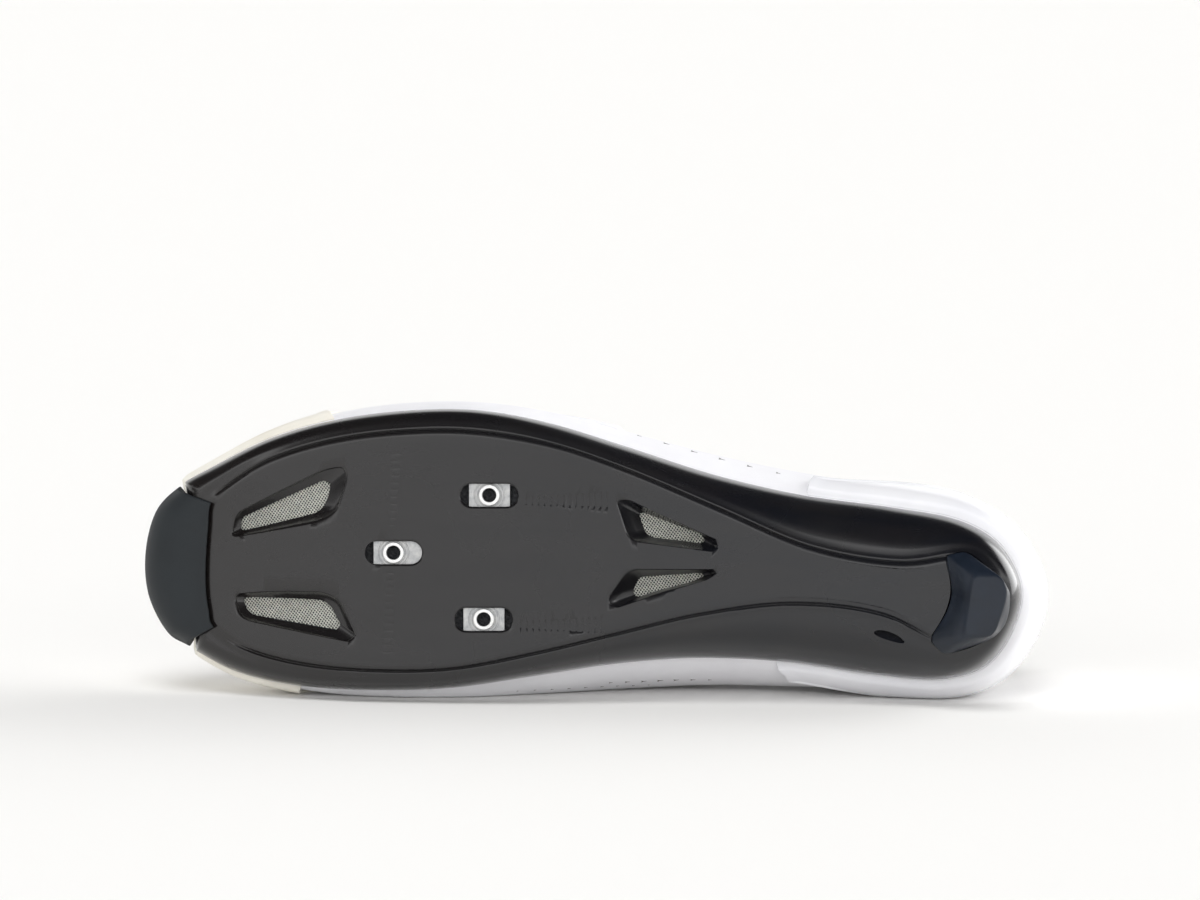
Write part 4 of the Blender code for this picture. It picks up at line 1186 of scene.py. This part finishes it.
def tongue_rows(extra):
    def depth(w, v):
        return -(wall(w, v) + COVER_GAP + extra)
    rows = [[skin_point(w, 0.86, depth(w, 0.86) - 0.0018)
             for w in (11.9, 12.5, 13.2, 14.1, 15.0, 15.9, 16.8, 17.5, 18.1)]]
    rows.append([skin_point(w, v, depth(w, v) - 0.0008) for w, v in zip(
        (12.0, 12.4, 13.0, 14.0, 15.0, 16.0, 17.0, 17.6, 18.0),
        (0.85, 0.92, 0.985, 0.985, 0.985, 0.985, 0.985, 0.92, 0.85))])
    for w in (11.5, 11.0, 10.0, 9.0, 8.0, 7.4, 6.8):
        low = 0.84 + 0.11 * (1.0 - smooth(6.6, 8.0, w))
        rows.append(span(w, (low, (low + 0.99) / 2, 0.99), depth, 0.55 if w < 11 else 0.1, 3))
    end = rows[-1]
    centre = end[4]
    for k, (forward, rise, narrow) in enumerate(((0.026, 0.085, 0.72), (0.050, 0.165, 0.66),
                                                 (0.060, 0.205, 0.48))):
        rows.append([Vector((p.x + forward * LENGTH, centre.y + (p.y - centre.y) * narrow,
                             centre.z + (p.z - centre.z) * (0.75 - 0.25 * k)
                             + rise * SHOE_HEIGHT)) for p in end])
    return rows


tongue_face, shader = finish("tongue_face", tint(232, 232, 236), 0.75, sheen_weight=0.25,
                             sheen_roughness=0.5)
where = places(tongue_face)
airy = node(tongue_face, "TexVoronoi", {"Vector": where, "Scale": 620.0}).outputs["Distance"]
two_tones(tongue_face, shader, airy, (204, 204, 210), (238, 238, 241), 0.1, 0.55)
relief(tongue_face, shader, plus(tongue_face, airy, noise(tongue_face, where, 2600.0)), 0.0003,
       0.5)
first_rows, second_rows = tongue_rows(0.0), tongue_rows(TONGUE)
bm = bmesh.new()
tall, wide = len(first_rows) - 1, len(first_rows[0]) - 1
for rows, side in ((first_rows, 0), (second_rows, 1)):
    surface(bm, wide, tall, lambda u, v, rows=rows: rows[round(v * tall)][round(u * wide)], side)
borders = [e for e in bm.edges if e.is_boundary]
bridged = bmesh.ops.bridge_loops(bm, edges=borders)
for face in bridged["faces"]:
    face.smooth = True
bmesh.ops.recalc_face_normals(bm, faces=bm.faces)
tongue = piece(bm, "tongue_pad", [tongue_face, lining], stands_for=["tongue"], sharp=180)
soft = tongue.modifiers.new("soft", "SUBSURF")
soft.levels = soft.render_levels = 3

# Straps
# The real ones are two bands of coated webbing that cross the throat, sewn down on the lateral
# side and closed with hook and loop on the medial side. Rows of stitches run along their edges.
STRAP = 0.0014
STITCH_LIFT = 0.00006
STRAP_STITCH_LIFT = 0.00004
# Name, first station, and how far down the bands reach on the lateral and the medial side
STRAPS = (("instep", 6.5, 0.40, 0.80), ("fore", 8.5, 0.45, 0.72))
webbing, shader = finish("strap_webbing", tint(233, 233, 238), 0.55, sheen_weight=0.1)
source = node(webbing, "TexCoord", {}).outputs["UV"]
ribs = node(webbing, "TexWave", {"Vector": source, "Scale": 9.0, "Distortion": 0.4},
            bands_direction="X").outputs["Fac"]
weft = node(webbing, "TexWave", {"Vector": source, "Scale": 46.0, "Distortion": 0.6},
            bands_direction="Y").outputs["Fac"]
worn = noise(webbing, places(webbing), 120.0, 4.0)
two_tones(webbing, shader, worn, (240, 240, 244), (222, 222, 228), 0.3, 0.75)
relief(webbing, shader, plus(webbing, times(webbing, ribs, 0.5), times(webbing, weft, 0.5)),
       0.00012, 0.6)
thread, shader = finish("white_thread", tint(226, 226, 230), 0.6, sheen_weight=0.2)
twist = node(thread, "TexWave", {"Vector": places(thread), "Scale": 1500.0},
             bands_direction="DIAGONAL").outputs["Fac"]
feed(thread, shader, "Base Color",
     blend_colours(thread, twist, tint(206, 206, 212), tint(238, 238, 242)))
relief(thread, shader, twist, 0.00008, 0.6)


def sewn(bm, line, ups, pitch=0.0026, length=0.0019, width=0.00042):
    """Row of stitches along a line of points, each with the way up there."""
    travelled, due = 0.0, pitch / 2
    for a, b, up in zip(line, line[1:], ups):
        step = (b - a).length
        while due <= travelled + step:
            t = (due - travelled) / step
            ahead = (b - a).normalized()
            side = up.cross(ahead).normalized()
            spot = Matrix((ahead * length / 2, side * width / 2, up.normalized() * width / 2.4))
            spot = spot.transposed().to_4x4()
            spot.translation = a.lerp(b, t)
            bmesh.ops.create_icosphere(bm, subdivisions=1, radius=1.0, matrix=spot)
            due += pitch
        travelled += step


stitches = bmesh.new()
for tag, first, low_v, high_v in STRAPS:
    margins = [low_v + (1.0 - low_v) * k / 18 for k in range(19)]
    keep = 19 + 9 + round((1.0 - high_v) / (1.0 - low_v) * 18) + 1

    @functools.lru_cache(maxsize=None)
    def strap_line(w, off):
        return span(w, margins, lambda station, v: off, 0.45, 9)[:keep]

    lane = [first + k / 10 for k in range(11)]
    bm = bmesh.new()
    surface(bm, 10, keep - 1,
            lambda u, v: strap_line(lane[round(u * 10)], COVER_GAP + STRAP / 2)[
                round(v * (keep - 1))])
    bmesh.ops.recalc_face_normals(bm, faces=bm.faces)
    thickened(piece(bm, "strap_band_" + tag, [webbing], stands_for=["strap_" + tag], sharp=60),
              STRAP, 0.36)
    for station in (first + 0.13, first + 0.87):
        line = strap_line(station, COVER_GAP + STRAP + STRAP_STITCH_LIFT)
        under = strap_line(station, COVER_GAP)
        beside = strap_line(station + 0.05, COVER_GAP + STRAP + STRAP_STITCH_LIFT)
        ups = []
        for a, b, c in zip(line, line[1:], beside):
            up = (b - a).cross(c - a)
            ups.append(up if up.dot(a - under[line.index(a)]) > 0 else -up)
        sewn(stitches, line[1:-1], ups[1:])
# Rows along the collar and the throat: first and last eighth of a station, and how far up
for first, last, level in ((-52, 52, 0.93), (60, 180, 0.94)):
    spots = [k / 8 for k in range(first, last + 1)]
    sewn(stitches, [skin_point(w, level, STITCH_LIFT) for w in spots],
         [skin_normal(w, level) for w in spots])
piece(stitches, "edge_stitching", [thread], sharp=180)

# Floor, light and camera
# A plain pale floor under two soft lamps. The gloss mirrors a room with a wide bright wall and
# strip in front, a bright wall behind, a softbox at the heel and a dark ceiling.
floor_mesh = bmesh.new()
bmesh.ops.create_grid(floor_mesh, x_segments=1, y_segments=1, size=14.0)
pale, shader = finish("pale_floor", (0.93, 0.923, 0.907, 1.0), 0.9, specular_ior_level=0.0)
feed(pale, shader, "Base Color",
     blend_colours(pale, noise(pale, places(pale), 3.0), (0.932, 0.925, 0.909, 1.0),
                   (0.928, 0.921, 0.905, 1.0)))
ground = piece(floor_mesh, "floor", [pale], body=None, laid=False)

world = bpy.data.worlds.new("studio")
bpy.context.scene.world = world
world.use_nodes = True
toward = node(world, "SeparateXYZ", {0: node(world, "TexCoord", {}).outputs["Generated"]})


def over(value, start, full):
    """0 below start, 1 above full, and soft between them; the other way round when they fall."""
    low, high = (0.0, 1.0) if start < full else (1.0, 0.0)
    return node(world, "MapRange", {"Value": value, "From Min": min(start, full),
                                    "From Max": max(start, full), "To Min": low, "To Max": high},
                interpolation_type="SMOOTHSTEP").outputs[0]


# Each light of the studio: how bright it is, and where it is as ranges along x, y and z
to_x, to_y, to_z = toward.outputs
ahead_of_shoe, behind_shoe = over(to_y, 0.15, -0.15), over(to_y, -0.15, 0.15)
white_wall = times(world, times(world, ahead_of_shoe, over(to_x, -0.92, -0.72)),
                   over(to_z, 0.40, 0.32))
strip = times(world, ahead_of_shoe, times(world, over(to_z, 0.24, 0.31), over(to_z, 0.42, 0.36)))
back_wall = times(world, behind_shoe, over(to_z, 0.62, 0.45))
side_box = times(world, times(world, over(to_x, 0.40, 0.50), over(to_y, -0.05, 0.10)),
                 over(to_z, 0.66, 0.58))
glow = plus(world, plus(world, white_wall, times(world, strip, 1.2)),
            plus(world, plus(world, back_wall, times(world, side_box, 3.0)), 0.05))
sky = world.node_tree.nodes["Background"]
sky.inputs["Color"].default_value = (1.0, 1.0, 1.0, 1.0)
world.node_tree.links.new(glow, sky.inputs["Strength"])

# Name, strength, softness and slant of each lamp in degrees
for name, strength, softness, slant in (("overhead", 1.62, 40, 24), ("front", 0.85, 60, 64)):
    sun = bpy.data.lights.new(name, "SUN")
    sun.energy = strength
    sun.angle = math.radians(softness)
    lamp = bpy.data.objects.new(name, sun)
    lamp.rotation_euler = (math.radians(slant), math.radians(-4), 0)
    lamp.visible_glossy = False
    bpy.context.scene.collection.objects.link(lamp)

CAMERA_AIM = Vector((-0.0006, 0.0, 0.0732))
CAMERA_AWAY = 2.6
CAMERA_TURN, CAMERA_RISE, CAMERA_ROLL = (math.radians(a) for a in (-1.65, 6.2, 0.89))
away = Vector((-math.sin(CAMERA_TURN) * math.cos(CAMERA_RISE),
               -math.cos(CAMERA_TURN) * math.cos(CAMERA_RISE), math.sin(CAMERA_RISE)))
right = Vector((0, 0, 1)).cross(away).normalized()
top = away.cross(right)
x_axis = right * math.cos(CAMERA_ROLL) + top * math.sin(CAMERA_ROLL)
y_axis = top * math.cos(CAMERA_ROLL) - right * math.sin(CAMERA_ROLL)
lens = bpy.data.cameras.new("camera")
lens.lens = 250.2
lens.sensor_width = 36.0
lens.clip_end = 60.0
camera = bpy.data.objects.new("camera", lens)
camera.matrix_world = Matrix.Translation(CAMERA_AIM + away * CAMERA_AWAY) @ Matrix(
    (x_axis, y_axis, away)).transposed().to_4x4()
bpy.context.scene.collection.objects.link(camera)
bpy.context.scene.camera = camera
bpy.context.scene.view_settings.view_transform = "Standard"

bpy.context.view_layer.update()
